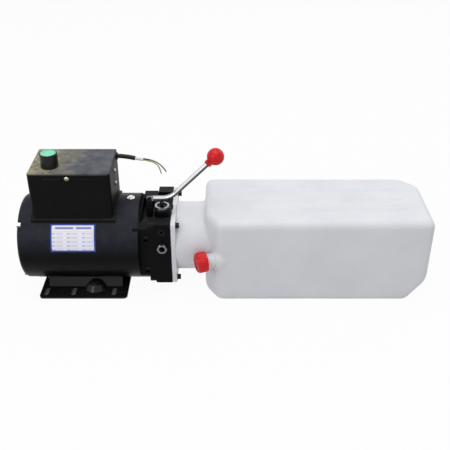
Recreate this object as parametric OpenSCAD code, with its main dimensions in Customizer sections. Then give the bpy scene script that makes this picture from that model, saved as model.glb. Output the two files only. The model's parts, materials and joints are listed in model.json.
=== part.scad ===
// Hydraulic power unit: electric motor, gear pump, manifold and plastic oil tank on one axis.
// Millimetres. +X runs from the motor to the tank, +Y to the back, +Z up.
// The origin is the centre of the foot underside; the motor axis runs along X above it.

/* [Motor] */
// Outside diameter of the rolled shell
motor_d = 160; // [130:1:195]
// Thickness of the shell sheet
shell_t = 3; // [2:0.5:5]
// Length of the shell
shell_l = 193.5; // [160:0.5:235]
// X of the left end of the shell
shell_x = -85; // [-105:0.5:-70]
// Gap between the foot underside and the lowest line of the shell
shell_gap = 10; // [8:0.5:25]
// Length of the rear end bell beyond the shell
bell_l = 25.5; // [20:0.5:32]
// Edge rounding of the rear end bell
bell_round = 9; // [5:0.5:11]
// Length of the lamination stack
stack_l = 100; // [80:1:115]
// X of the left end of the lamination stack
stack_x = -48; // [-52:1:-40]
// Bore of the stator
stator_bore = 86; // [76:1:92]
// Radial gap between rotor and stator
air_gap = 0.5; // [0.3:0.1:1]
// Number of stator slots
stator_slots = 24; // [18:6:36]
// Bore of the ball bearings
bearing_bore = 17; // [15:1:20]
// Outside diameter of the ball bearings
bearing_od = 40; // [35:1:47]
// Width of the ball bearings
bearing_w = 12; // [11:1:14]
// Diameter of the shaft inside the rotor
rotor_seat_d = 22; // [20:1:28]
// Diameter of the cooling fan
fan_d = 104; // [90:1:116]
// Number of fan blades
fan_blades = 8; // [6:1:12]
// Diameter of the four through bolts
tie_d = 5; // [4:1:6]

/* [Foot] */
// Side of the square foot plate
foot_w = 165; // [150:1:190]
// Thickness of the foot plate
foot_t = 3; // [2:0.5:5]
// Corner radius of the foot plate
foot_corner = 8; // [4:1:14]
// Width of the six mounting slots
slot_w = 8.7; // [7:0.1:10.5]
// End-to-end length of the mounting slots
slot_l = 27; // [20:1:29]
// Distance between the front and back slots
slot_across = 123.8; // [118:0.1:132]
// X of the right pair of slots
slot_x = 55.5; // [50:0.5:62]
// Distance from the right pair to the middle pair
slot_short = 76.2; // [70:0.1:85]
// Distance from the right pair to the left pair
slot_long = 127; // [115:0.1:131]
// Half distance between the saddle walls at the plate
saddle_y = 47.5; // [42:0.5:48]
// Length of the saddle walls
saddle_l = 140; // [110:1:150]

/* [Control box] */
// Length of the box along the motor
box_l = 145; // [125:1:150]
// Width of the box across the motor
box_w = 104; // [90:1:116]
// Height of the box top above the top of the shell
box_rise = 76.4; // [60:0.2:92]
// X of the left wall of the box
box_x = -80; // [-82:0.5:-70]
// Wall thickness of the box
box_wall = 2.5; // [2:0.5:4]
// Radius of the upright box corners
box_corner = 6; // [4:0.5:12]
// Radius of the top box edges
box_edge = 4; // [3:0.5:6]
// Thickness of the gasket on the shell
gasket_t = 1.5; // [1:0.5:3]
// Thickness of the curved box base
base_t = 3; // [2:0.5:5]
// How far the base stands out around the box
base_lip = 3; // [1:0.5:5]
// Head diameter of the pan head screws
pan_d = 8.4; // [7:0.2:10]

/* [Push button] */
// Outside diameter of the button guard
guard_d = 31; // [28:0.5:36]
// Height of the guard above the box
guard_h = 26; // [20:0.5:32]
// Wall of the guard
guard_wall = 1.9; // [1.5:0.1:3]
// X of the button
button_x = -44; // [-50:0.5:-36]
// Y of the button
button_y = -22; // [-28:0.5:-18]
// Stroke of the button
button_stroke = 4; // [3:0.5:5]

/* [Supply cable] */
// Diameter of the outer jacket
jacket_d = 8.4; // [7:0.2:10]
// Diameter of the white filler
filler_d = 6.2; // [5.6:0.2:6.6]
// Diameter of each core
core_d = 2.2; // [1.8:0.1:2.4]

/* [Adapter and manifold] */
// Width of the manifold block
block_w = 125; // [118:1:140]
// Height of the manifold block
block_h = 129; // [122:1:140]
// How far the block centre sits below the motor axis
block_drop = 4; // [0:0.5:6]
// Length of the round part of the adapter
adapter_l = 17.5; // [15:0.5:24]
// Thickness of the square flange of the adapter
adapter_flange_t = 11; // [8:0.5:15]
// Thickness of the manifold block
block_t = 30; // [28:0.5:38]
// Height of the bolt ear at the back of the block
ear_h = 10; // [9:0.5:16]
// Front Y of the bolt ear
ear_y = 40; // [36:1:42]
// Hexagon of the outlet adapter across flats
outlet_af = 17; // [14:1:22]
// Bore of the outlet adapter
outlet_bore = 11.6; // [8:0.2:12.4]
// Length of the hexagon in front of the block
outlet_l = 7; // [5:0.5:12]
// Height of the outlet above the motor axis
outlet_z = 11; // [6:0.5:16]
// Diameter of the relief valve plug
plug_d = 13.5; // [12:0.5:15]
// Height of the relief valve above the motor axis
relief_z = 43.6; // [38:0.2:46]

/* [Gear pump] */
// Teeth of each pump gear
gear_teeth = 12; // [8:4:16]
// Module of the pump gears
gear_module = 2.2; // [2:0.1:2.5]
// Width of the pump gears
gear_w = 22; // [16:1:28]
// Diameter of the pump shafts
pump_shaft_d = 12; // [10:0.5:13]
// Thickness of the pump end walls
pump_wall = 4; // [3:0.5:6]
// Thickness of the pump cover
cover_t = 12; // [10:0.5:16]
// Half width of the pump body
pump_r = 28; // [26:0.5:31]
// Diameter of the suction tube
suction_d = 14; // [12:0.5:16]
// Diameter of the return tube
return_d = 12; // [10:0.5:12]
// Diameter of the suction filter
filter_d = 52; // [44:1:58]
// Height of the suction filter
filter_h = 26; // [20:1:32]

/* [Release valve and lever] */
// Distance of the valve axis from the left face of the block
valve_in = 14; // [12:0.5:16]
// Y of the valve and the lever
valve_y = -23; // [-26:0.5:-20]
// Outside diameter of the valve collar
valve_d = 26.2; // [24.6:0.2:31]
// Diameter of the well in the valve collar
well_d = 19.5; // [18:0.5:21]
// Diameter of the valve stem
stem_d = 7.5; // [6:0.5:8.5]
// Height of the lever above the motor axis
lever_rise = 93; // [88:0.5:106]
// Diameter of the lever rod
lever_d = 9; // [7:0.5:10]
// Distance from the valve axis to the lever pivot
lever_arm = 23; // [21:0.5:24]
// Radius of the bend in the lever
lever_bend = 35; // [28:1:42]
// Length of the sloping part of the lever to the knob centre
lever_slope = 102.3; // [80:0.5:122]
// Diameter of the knob
knob_d = 31; // [26:0.5:37]

/* [Oil tank] */
// Length of the tank body
tank_l = 409; // [330:1:485]
// Width of the tank body
tank_w = 177.2; // [160:0.2:210]
// Height of the tank body
tank_h = 167.5; // [150:0.5:180]
// Height of the tank underside above the foot underside
tank_z = 0.5; // [0:0.5:4]
// Wall of the tank
tank_wall = 3.5; // [2.5:0.5:5]
// Rounding of the upper long tank edges
tank_round = 15; // [10:1:22]
// Rounding of the lower long tank edges
tank_foot_round = 8; // [7:1:16]
// Thickness of the tank flange
flange_t = 9; // [8:0.5:14]
// Length of the neck between flange and body
neck_l = 52.7; // [45:0.1:65]
// Diameter of the neck
neck_d = 128; // [122:1:129]
// Diameter of the filler neck
filler_neck_d = 27; // [22:0.5:29]
// Angle of the filler axis from the motor direction
filler_angle = 20; // [18:1:28]
// Angle of the cut-off corner that carries the filler
cut_angle = 30; // [25:1:35]
// Length of the filler neck below the cap
filler_reach = 19; // [16:0.5:24]
// Diameter of the filler cap
cap_d = 38; // [33:0.5:39]
// Height of the filler cap
cap_h = 19; // [15:0.5:22]
// Number of grip flutes on the cap
cap_flutes = 24; // [16:2:36]
// Diameter of the tank bolts
tank_bolt_d = 6; // [5:1:8]

/* [Fits] */
// Radial clearance of parts that stay still
slip = 0.05; // [0.03:0.01:0.08]
// Radial clearance of parts that turn or slide
running = 0.05; // [0.03:0.01:0.08]
// Free gap of parts that pass each other
pass_gap = 0.3; // [0.2:0.1:0.5]

/* [View] */
// Sub-part to show, or all

/* [Hidden] */
$fn = 96;

motor_r = motor_d / 2;
axis_h = motor_r + shell_gap;
shell_r = motor_r - shell_t;
shell_end = shell_x + shell_l;
bell_x = shell_x - bell_l;
bell_wall = 5;
spigot_l = 8;
stack_end = stack_x + stack_l;
seat_r = bearing_od / 2;
hub_r = seat_r + 6;
journal_r = bearing_bore / 2 - running;
rear_seat = bell_x + 8.5;
front_seat = shell_end - 14.5;
tie_r = tie_d / 2;
tie_circle = shell_r - 5;
rotor_r = stator_bore / 2 - air_gap;
fan_x = rear_seat + bearing_w + 2;
coil_overhang = 22;

flange_x = shell_end + adapter_l;
block_x = flange_x + adapter_flange_t;
block_end = block_x + block_t;
neck_x = block_end + flange_t;
tank_x = neck_x + neck_l;
tank_end = tank_x + tank_l;
block_z = axis_h - block_drop;
block_top = block_z + block_h / 2;
front_y = -block_w / 2;
port_x = block_x + valve_in;
bore_r = neck_d / 2 - 6;

sheet_r = motor_r + gasket_t;
base_r = sheet_r + base_t;
box_end = box_x + box_l;
box_top = axis_h + motor_r + box_rise;
deck_z = axis_h + base_r;
deck_t = 2;
deck_y = 34;
screw_x = -10;
screw_z = box_top - 9.9;
cable_y = box_w / 2 - 11;
cable_z = box_top - 10.4;

guard_r = guard_d / 2;
cup_r = guard_r - guard_wall;
button_r = cup_r - 0.1;
cup_floor = box_top + 5.6;
button_under = box_top + guard_h - 10.4;
button_top = box_top + guard_h + 0.6;
neck_bottom = box_top - 6.4;

pitch_r = gear_module * gear_teeth / 2;
tip_r = pitch_r + 0.91 * gear_module;
root_r = pitch_r - 1.27 * gear_module;
base_circle = pitch_r * cos(20);
backlash_a = 0.6;
pocket_r = tip_r + running + 0.03;
driven_z = axis_h - 2 * pitch_r;
mesh_z = axis_h - pitch_r;
pocket_x = block_end + pump_wall;
pump_end = pocket_x + gear_w;
cover_end = pump_end + cover_t;
pump_shaft_r = pump_shaft_d / 2;
port_y = 11;
suction_y = 8;
return_y = 36;
return_z = axis_h + 32;

valve_x = port_x;
boss_top = block_top + 12.5;
collar_top = boss_top + 5;
valve_floor = block_top - 24.5;
valve_r = well_d / 2 + 1.75;
well_floor = boss_top - 4.6;
lever_z = axis_h + lever_rise;
pivot_x = valve_x - lever_arm;
pivot_z = lever_z - 1.5;
pivot_r = 2;
tab_t = 4;
bend_x = valve_x + 1;
bend_end_x = bend_x + lever_bend * sin(45);
bend_end_z = lever_z + lever_bend * (1 - cos(45));
knob_x = bend_end_x + lever_slope * sin(45);
knob_z = bend_end_z + lever_slope * cos(45);
stem_top = lever_z - lever_d / 2 - pass_gap;
ring_z = valve_floor + 24;
pocket_floor = block_top - 18.5;

tie_angles = [45, 135, 225, 315];
block_bolt_y = 54;
block_bolt_z = 34;
tank_bolts_yz = [[-52, block_top - 8.5], [-52, block_z - 56.5], [52, block_z - 56.5], [52, block_top + 0.5]];

// outline of the tank seen from above, from the side and along the axis
corner_cut = 24;
tank_top = tank_z + tank_h;
tank_plan = [[tank_x, -tank_w / 2 + corner_cut / tan(cut_angle)], [tank_x + corner_cut, -tank_w / 2],
    [tank_end, -tank_w / 2], [tank_end, tank_w / 2 - 32], [tank_end - 32, tank_w / 2], [tank_x, tank_w / 2]];
tank_plan_r = [12, 12, 13, 10, 10, 18];
tank_side = [[tank_x, tank_z], [tank_end - 32, tank_z], [tank_end, tank_z + 42], [tank_end, tank_top], [tank_x, tank_top]];
tank_side_r = [10, 22, 22, 10, 14];
tank_section = [[-tank_w / 2, tank_z], [tank_w / 2, tank_z], [tank_w / 2, tank_top], [-tank_w / 2, tank_top]];
tank_section_r = [tank_foot_round, tank_foot_round, tank_round, tank_round];
filler_x = tank_x + 0.84 * corner_cut;
filler_y = -tank_w / 2 + 0.29 * corner_cut / tan(cut_angle);
filler_z = axis_h - 5.3;
neck_out = filler_reach + cap_h - 5;

// centre lines of the cable pieces
jacket_path = [[40, cable_y, cable_z], [55, cable_y, cable_z], [70, cable_y, cable_z],
    [85, cable_y, cable_z - 1.6], [99, cable_y, cable_z - 4.5]];
filler_start = [97, cable_y, cable_z - 4.1];
filler_end = [114, cable_y, cable_z - 7];
earth_path = [[112, cable_y - 1.3, cable_z - 7.1], [120, cable_y - 1.5, cable_z - 8.5], [126, cable_y - 1.5, cable_z - 10],
    [132, cable_y - 1.5, cable_z - 12.2], [137, cable_y - 1.5, cable_z - 15.2], [141, cable_y - 1.5, cable_z - 19.5],
    [143.5, cable_y - 1.5, cable_z - 25], [145, cable_y - 1.5, cable_z - 30], [146, cable_y - 1.5, cable_z - 34.6]];
live_path = [[112, cable_y + 1, cable_z - 5.5], [120, cable_y + 1, cable_z - 6.8], [126, cable_y + 1, cable_z - 8.2],
    [132, cable_y + 1, cable_z - 10.3], [138, cable_y + 1, cable_z - 13.3], [143.5, cable_y + 1, cable_z - 17.3],
    [148.5, cable_y + 1, cable_z - 22.3], [152, cable_y + 1, cable_z - 27], [155, cable_y + 1, cable_z - 32]];
neutral_path = [[112, cable_y + 1.2, cable_z - 7.8], [120, cable_y + 2.4, cable_z - 8.8], [126, cable_y + 3, cable_z - 9.6],
    [132, cable_y + 3, cable_z - 11.6], [138, cable_y + 3, cable_z - 14.5], [143.5, cable_y + 3, cable_z - 18.5],
    [148, cable_y + 3, cable_z - 23.3], [151.5, cable_y + 3, cable_z - 28], [154, cable_y + 3, cable_z - 32]];

steel = [0.72, 0.73, 0.75];
zinc = [0.80, 0.81, 0.83];
black = [0.13, 0.13, 0.14];
casting = [0.11, 0.11, 0.12];
poly = [0.88, 0.89, 0.92];
red = [0.85, 0.12, 0.12];
copper = [0.72, 0.40, 0.20];

// ---- helpers ----

// A round bar along X, from x0 to x1, on the line y, z.
module bar_x(x0, x1, r, y = 0, z = axis_h) {
    translate([x0, y, z]) rotate([0, 90, 0]) cylinder(h = x1 - x0, r = r);
}

// A round bar along Y, from y0 to y1, on the line x, z.
module bar_y(y0, y1, r, x, z) {
    translate([x, y1, z]) rotate([90, 0, 0]) cylinder(h = y1 - y0, r = r);
}

// A round bar along Z, from z0 to z1, on the line x, y.
module bar_z(z0, z1, r, x, y) {
    translate([x, y, z0]) cylinder(h = z1 - z0, r = r);
}

// A ring along X, from x0 to x1.
module ring_x(x0, x1, outer, inner, y = 0, z = axis_h) {
    difference() {
        bar_x(x0, x1, outer, y, z);
        bar_x(x0 - 1, x1 + 1, inner, y, z);
    }
}

// A box between two opposite corners.
module span(a, b) {
    translate(a) cube(b - a);
}

// Extrudes an outline drawn in Y and Z along X.
module along_x(x0, x1) {
    translate([x0, 0, 0]) rotate([90, 0, 90]) linear_extrude(height = x1 - x0) children();
}

// Extrudes an outline drawn in X and Z along Y.
module along_y(y0, y1) {
    translate([0, y1, 0]) rotate([90, 0, 0]) linear_extrude(height = y1 - y0) children();
}

// A rectangle with round corners, centred.
module soft_rect(w, h, r) {
    square([w - 2 * r, h], center = true);
    square([w, h - 2 * r], center = true);
    for (sx = [-1, 1], sy = [-1, 1]) translate([sx * (w / 2 - r), sy * (h / 2 - r)]) circle(r = r);
}

// Where the arc of radius r at corner p, between a and b, has its centre and its two ends.
function corner_arc(a, p, b, r) = let (u = (a - p) / norm(a - p), v = (b - p) / norm(b - p), half = acos(u * v) / 2,
    t = r / tan(half)) [p + (u + v) / norm(u + v) * r / sin(half), p + u * t, p + v * t];

// A convex outline with a radius at each corner.
module soft_polygon(points, radii) {
    n = len(points);
    arcs = [for (i = [0 : n - 1]) corner_arc(points[(i + n - 1) % n], points[i], points[(i + 1) % n], radii[i])];
    polygon([for (a = arcs, k = [1, 2]) a[k]]);
    for (i = [0 : n - 1]) translate(arcs[i][0]) circle(r = radii[i]);
}

// Moves each edge of a convex, counter-clockwise outline inwards by d.
function edge_in(a, b, d) = let (u = (b - a) / norm(b - a)) [a + d * [-u[1], u[0]], u];
function cross_point(e, f) = let (k = ((f[0] - e[0])[0] * f[1][1] - (f[0] - e[0])[1] * f[1][0])
    / (e[1][0] * f[1][1] - e[1][1] * f[1][0])) e[0] + k * e[1];
function inset(points, d) = let (n = len(points)) [for (i = [0 : n - 1])
    cross_point(edge_in(points[(i + n - 1) % n], points[i], d), edge_in(points[i], points[(i + 1) % n], d))];

// A tube swept along a line of points, with n sides.
module sweep(path, r, n, up) {
    m = len(path);
    rings = [for (i = [0 : m - 1])
        let (t0 = path[min(i + 1, m - 1)] - path[max(i - 1, 0)], t = t0 / norm(t0),
            a0 = cross(up, t), a = a0 / norm(a0), b = cross(t, a))
        for (j = [0 : n - 1]) path[i] + r * (cos(360 * j / n) * a + sin(360 * j / n) * b)];
    sides = [for (i = [0 : m - 2], j = [0 : n - 1], k = [0, 1]) k == 0
        ? [i * n + j, (i + 1) * n + j, (i + 1) * n + (j + 1) % n]
        : [i * n + j, (i + 1) * n + (j + 1) % n, i * n + (j + 1) % n]];
    first = [for (j = [0 : n - 1]) j];
    last = [for (j = [n - 1 : -1 : 0]) (m - 1) * n + j];
    polyhedron(points = rings, faces = concat([first], sides, [last]), convexity = 6);
}

// A compression spring standing on z = 0, of free height h.
module coil(h, r, wire, turns) {
    steps = turns * 12;
    path = [for (i = [0 : steps]) [r * cos(30 * i), r * sin(30 * i), wire + (h - 2 * wire) * i / steps]];
    sweep(path, wire, 6, [0, 0, 1]);
}

// A hexagon head along X from x0 to x1, of size af across flats.
module hex_x(x0, x1, af, y, z) {
    translate([x0, y, z]) rotate([0, 90, 0]) cylinder(h = x1 - x0, d = af / cos(30), $fn = 6);
}

// A pan head screw entering along -Z at the origin, with a cross recess.
module pan_screw(grip) {
    difference() {
        union() {
            translate([0, 0, -grip]) cylinder(h = grip, r = 2);
            cylinder(h = 1.2, d = pan_d);
            translate([0, 0, 1.2]) cylinder(h = 1.4, d1 = pan_d, d2 = pan_d - 3.4);
        }
        for (a = [0, 90]) rotate(a) translate([-2.2, -0.5, 1.2]) cube([4.4, 1, 2]);
    }
}

// Places something at the four through bolts of the motor.
module at_ties() {
    for (a = tie_angles) translate([0, tie_circle * cos(a), axis_h + tie_circle * sin(a)]) children();
}

// ---- motor ----

module motor_shell() {
    notch_a = 37.6;
    color(black) difference() {
        ring_x(shell_x, shell_end, motor_r, shell_r);
        bar_z(axis_h, axis_h + motor_r + 2, 12, 0, 0);
        bar_z(axis_h, axis_h + motor_r + 2, 2.5 + slip, shell_end - 16.5, 0);
        translate([shell_end - 9, 0, axis_h]) rotate([180 - notch_a, 0, 0]) translate([0, shell_r - 2, -3]) cube([10, shell_t + 4, 6]);
    }
}

module rear_end_bell() {
    color(black) difference() {
        union() {
            translate([shell_x, 0, axis_h]) rotate([0, -90, 0]) rotate_extrude() {
                square([motor_r - 0.5, bell_l - bell_round]);
                square([motor_r - 0.5 - bell_round, bell_l]);
                translate([motor_r - 0.5 - bell_round, bell_l - bell_round]) circle(r = bell_round);
            }
            bar_x(shell_x - 2, shell_x + spigot_l, shell_r - slip);
        }
        difference() {
            bar_x(bell_x + bell_wall, shell_x + spigot_l + 1, shell_r - 5);
            bar_x(bell_x, rear_seat + bearing_w, hub_r);
            at_ties() bar_x(bell_x, shell_x + spigot_l + 2, tie_d + 4, 0, 0);
            for (a = [0 : 45 : 315]) translate([0, 0, axis_h]) rotate([a, 0, 0])
                span([bell_x, 0, -1.5], [bell_x + bell_wall + 7, shell_r, 1.5]);
        }
        bar_x(rear_seat, rear_seat + bearing_w + 1, seat_r + slip);
        bar_x(rear_seat - 3, rear_seat + 1, seat_r - 6);
        at_ties() bar_x(bell_x - 1, shell_x + spigot_l + 2, tie_r + slip, 0, 0);
        at_ties() bar_x(bell_x - 1, bell_x + 8, tie_d + 2.8, 0, 0);
        for (a = tie_angles) translate([0, 0, axis_h]) rotate([a, 0, 0])
            span([bell_x - 1, tie_circle, -1.33 * tie_d], [bell_x + 8, motor_r + 2, 1.33 * tie_d]);
    }
}

module bearing(x) {
    mid_r = (bearing_bore + bearing_od) / 4;
    difference() {
        ring_x(x, x + bearing_w, seat_r, bearing_bore / 2);
        ring_x(x - 1, x + 1.5, mid_r + 2, mid_r - 2);
        ring_x(x + bearing_w - 1.5, x + bearing_w + 1, mid_r + 2, mid_r - 2);
    }
}

module motor_bearings() {
    color(steel) {
        bearing(rear_seat);
        bearing(front_seat);
    }
}

module stator_core() {
    color([0.45, 0.46, 0.48]) difference() {
        ring_x(stack_x, stack_end, shell_r - slip, stator_bore / 2);
        for (i = [0 : stator_slots - 1]) translate([0, 0, axis_h]) rotate([360 * i / stator_slots, 0, 0])
            span([stack_x - 1, stator_bore / 2 - 1, -2.5], [stack_end + 1, stator_bore / 2 + 17, 2.5]);
        at_ties() bar_x(stack_x - 1, stack_end + 1, tie_r + 0.7, 0, 0);
    }
}

module stator_windings() {
    inner = stator_bore / 2 + 2.5;
    color(copper) union() {
        for (x = [stack_x - coil_overhang, stack_end]) translate([x, 0, axis_h]) rotate([0, 90, 0]) rotate_extrude()
            translate([inner + 9, coil_overhang / 2]) soft_rect(18, coil_overhang, 5);
        for (i = [0 : stator_slots - 1]) translate([0, 0, axis_h]) rotate([360 * i / stator_slots, 0, 0])
            span([stack_x - 6, inner + 1.5, -2.2], [stack_end + 6, inner + 14, 2.2]);
    }
}

module rotor_core() {
    color([0.62, 0.63, 0.65]) difference() {
        union() {
            bar_x(stack_x, stack_end, rotor_r);
            bar_x(stack_x - 8, stack_end + 8, rotor_r - 2.5);
        }
        bar_x(stack_x - 9, stack_end + 9, rotor_seat_d / 2);
        ring_x(stack_x - 9, stack_x - 2, rotor_r - 12, rotor_seat_d / 2 - 1);
        ring_x(stack_end + 2, stack_end + 9, rotor_r - 12, rotor_seat_d / 2 - 1);
    }
}

module motor_shaft() {
    color(steel) {
        bar_x(rear_seat - 1.5, shell_end + adapter_l, journal_r);
        bar_x(stack_x - 8, stack_end + 8, rotor_seat_d / 2);
    }
}

module cooling_fan() {
    color([0.20, 0.20, 0.22]) difference() {
        union() {
            bar_x(fan_x, fan_x + 14, 14);
            bar_x(fan_x + 3, fan_x + 5, fan_d / 2);
            for (i = [0 : fan_blades - 1]) translate([0, 0, axis_h]) rotate([360 * i / fan_blades, 0, 0])
                span([fan_x + 4, 12, -1], [fan_x + 13, fan_d / 2 - 1, 1]);
        }
        bar_x(fan_x - 1, fan_x + 15, journal_r);
    }
}

module through_bolts() {
    color(zinc) at_ties() {
        bar_x(bell_x + 8, shell_end + 1.5, tie_r, 0, 0);
        hex_x(bell_x + 0.5, bell_x + 6.5, 2.2 * tie_d, 0, 0);
        bar_x(bell_x + 6.5, bell_x + 8, tie_d + 2.5, 0, 0);
    }
}

module name_plate() {
    from_a = 9;
    to_a = 46;
    reach = 2 * motor_r;
    color([0.85, 0.86, 0.90]) intersection() {
        ring_x(-48.5, 33, motor_r + 0.6, motor_r + slip);
        along_x(-48.5, 33) polygon([[0, axis_h], [-reach * cos(from_a), axis_h + reach * sin(from_a)],
            [-reach * cos(to_a), axis_h + reach * sin(to_a)]]);
    }
}

module earth_screw() {
    x = shell_end - 16.5;
    z = axis_h + motor_r;
    color(zinc) difference() {
        union() {
            bar_z(z - 10, z + 2, 2.5, x, 0);
            bar_z(z, z + 1.2, 7, x, 0);
            bar_z(z + 1.2, z + 3.4, 4.6, x, 0);
        }
        span([x - 3, -0.6, z + 2.4], [x + 3, 0.6, z + 4]);
    }
}

module foot_slots() {
    for (x = [slot_x, slot_x - slot_short, slot_x - slot_long], s = [-1, 1]) translate([x, s * slot_across / 2, -1]) {
        translate([-slot_w / 2, -(slot_l - slot_w) / 2, 0]) cube([slot_w, slot_l - slot_w, foot_t + 2]);
        for (e = [-1, 1]) translate([0, e * (slot_l - slot_w) / 2, 0]) cylinder(h = foot_t + 2, d = slot_w);
    }
}

module foot_base() {
    lean = 8 / 21;
    reach = motor_r * 0.6;
    color(black) difference() {
        union() {
            linear_extrude(height = foot_t) soft_rect(foot_w, foot_w, foot_corner);
            for (s = [0, 1]) mirror([0, s, 0]) {
                along_x(-saddle_l / 2, saddle_l / 2) polygon([[-saddle_y, foot_t / 2], [-saddle_y + foot_t + 0.5, foot_t / 2],
                    [-saddle_y + foot_t + 0.5 + lean * reach, foot_t / 2 + reach], [-saddle_y + lean * reach, foot_t / 2 + reach]]);
                intersection() {
                    along_x(-4, 43) polygon([[-saddle_y - 24, foot_t / 2], [-saddle_y + 2, foot_t / 2],
                        [-saddle_y + 2 + lean * 17, foot_t / 2 + 17], [-saddle_y - 24, foot_t / 2 + 17]]);
                    translate([19.5, -saddle_y, foot_t / 2]) {
                        cylinder(h = 12, r1 = 21.5, r2 = 13.5);
                        translate([0, 0, 12]) cylinder(h = 4.5, r1 = 13.5, r2 = 7);
                    }
                }
            }
        }
        bar_x(-foot_w, foot_w, motor_r);
        foot_slots();
        bar_z(-1, foot_t + 1, 2.5, 69, -74);
    }
}

// ---- control box ----

module sleeve_part(inner, outer, x0, x1, half) {
    intersection() {
        ring_x(x0, x1, outer, inner);
        span([x0, -half, axis_h + 5], [x1, half, axis_h + outer + 5]);
    }
}

module box_gasket() {
    half = box_w / 2 + base_lip;
    color([0.07, 0.07, 0.07]) difference() {
        sleeve_part(motor_r + slip, sheet_r, box_x - base_lip, box_end + base_lip, half);
        span([box_x + 18, -deck_y, axis_h], [box_end - 18, deck_y, axis_h + motor_r + 9]);
    }
}

module box_base() {
    half = box_w / 2 + base_lip;
    color(casting) difference() {
        sleeve_part(sheet_r + slip, base_r, box_x - base_lip, box_end + base_lip, half);
        bar_z(axis_h, deck_z + 5, 11, 0, 0);
    }
}

module soft_box(x0, x1, w, z0, z1, plan_r, side_r) {
    intersection() {
        translate([(x0 + x1) / 2, 0, z0]) linear_extrude(height = z1 - z0) soft_rect(x1 - x0, w, plan_r);
        along_y(-w / 2 - 1, w / 2 + 1) translate([(x0 + x1) / 2, (z0 + z1) / 2]) soft_rect(x1 - x0, z1 - z0, side_r);
        along_x(x0 - 1, x1 + 1) translate([0, (z0 + z1) / 2]) soft_rect(w, z1 - z0, side_r);
    }
}

module box_cover() {
    low = axis_h + motor_r * 0.3;
    color(black) difference() {
        soft_box(box_x, box_end, box_w, low, box_top, box_corner, box_edge);
        soft_box(box_x + box_wall, box_end - box_wall, box_w - 2 * box_wall, low - 20, box_top - box_wall,
            box_corner - 1.5, box_edge - 2);
        bar_x(box_x - 5, box_end + 5, base_r + slip);
        bar_y(-box_w, 0, 2 + slip, screw_x, screw_z);
        for (z = [box_top - 22, box_top - 47]) bar_x(box_end - 5, box_end + 5, 2 + slip, 5, z);
        bar_x(box_end - 5, box_end + 5, jacket_d / 2 + 1.8 + slip, cable_y, cable_z);
        bar_z(box_top - 10, box_top + 5, 11 + slip, button_x, button_y);
        for (x = [screw_x - 41, screw_x + 14]) span([x, -box_w / 2 - 1, screw_z - 0.6], [x + 27, -box_w / 2 + 0.6, screw_z + 0.6]);
    }
}

module equipment_bracket() {
    wall_y = -box_w / 2 + box_wall;
    color(zinc) difference() {
        union() {
            span([box_x + 13, -deck_y, deck_z], [box_end - 8, deck_y, deck_z + deck_t]);
            for (s = [0, 1]) mirror([0, s, 0])
                span([box_x + 13, deck_y - deck_t, deck_z - 12], [box_end - 8, deck_y, deck_z + 1]);
            span([screw_x - 8, wall_y, deck_z], [screw_x + 8, -deck_y + 1, deck_z + deck_t]);
            span([screw_x - 8, wall_y, deck_z - 25], [screw_x + 8, wall_y + deck_t, screw_z + 5.5]);
        }
        bar_x(box_x, box_end, base_r);
        bar_y(-box_w, 0, 2 + slip, screw_x, screw_z);
    }
}

module can(x0, x1, r, y) {
    z = deck_z + deck_t + r;
    bar_x(x0, x1, r, y, z);
    bar_x(x1, x1 + 2, r - 2, y, z);
    for (s = [-1, 1]) span([x1 + 1, y + s * 5 - 2.5, z - 0.4], [x1 + 9, y + s * 5 + 2.5, z + 0.4]);
}

module start_capacitor() {
    color([0.10, 0.10, 0.11]) can(box_x + 13, box_x + 81, 17, 16);
}

module run_capacitor() {
    color([0.78, 0.79, 0.81]) can(box_x + 13, box_x + 63, 14, -18);
}

module contactor() {
    z = deck_z + deck_t;
    x1 = box_end - box_wall;
    color([0.22, 0.23, 0.25]) difference() {
        union() {
            span([x1 - 37.5, -20, z], [x1, 26, z + 30]);
            span([x1 - 31, -20, z + 29], [x1, 26, box_top - 16]);
        }
        for (y = [-12, -1, 10, 21]) bar_z(z + 24, z + 31, 2.2, x1 - 34.2, y - 1);
        for (zz = [box_top - 22, box_top - 47]) bar_x(x1 - 9, x1 + 1, 2 + slip, 5, zz);
    }
}

module terminal_block() {
    z = deck_z + deck_t;
    color([0.90, 0.88, 0.80]) difference() {
        union() {
            span([-5, -32, z], [22, -12, z + 8]);
            span([-5, -28, z + 7], [22, -16, z + 15]);
        }
        for (x = [-1, 6, 12.5, 19]) {
            bar_z(z + 9, z + 16, 1.9, x - 0.5, -22);
            bar_y(-33, -11, 1.6, x - 0.5, z + 5);
        }
    }
}

module box_screws() {
    color(zinc) {
        translate([screw_x, -box_w / 2, screw_z]) rotate([90, 0, 0]) pan_screw(7);
        for (z = [box_top - 22, box_top - 47]) translate([box_end, 5, z]) rotate([0, 90, 0]) pan_screw(9);
    }
}

module cable_gland() {
    hole = jacket_d / 2;
    color([0.06, 0.06, 0.06]) difference() {
        union() {
            bar_x(box_end - box_wall - 2, box_end, hole + 1.8, cable_y, cable_z);
            bar_x(box_end, box_end + 2, hole + 2.6, cable_y, cable_z);
            bar_x(box_end - box_wall - 2.4, box_end - box_wall - 0.9, hole + 2.2, cable_y, cable_z);
        }
        bar_x(box_end - 10, box_end + 10, hole, cable_y, cable_z);
    }
}

module cable_jacket() {
    color([0.08, 0.08, 0.08]) sweep(jacket_path, jacket_d / 2, 12, [0, 1, 0]);
}

module cable_filler() {
    dir = filler_end - filler_start;
    color([0.92, 0.92, 0.90]) translate(filler_start) rotate([0, acos(dir[2] / norm(dir)), 0]) cylinder(h = norm(dir), d = filler_d);
}

module core_earth() {
    color([0.55, 0.62, 0.15]) sweep(earth_path, core_d / 2, 8, [0, 1, 0]);
}

module core_live() {
    color([0.22, 0.20, 0.16]) sweep(live_path, core_d / 2, 8, [0, 1, 0]);
}

module core_neutral() {
    color([0.12, 0.16, 0.32]) sweep(neutral_path, core_d / 2, 8, [0, 1, 0]);
}

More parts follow.
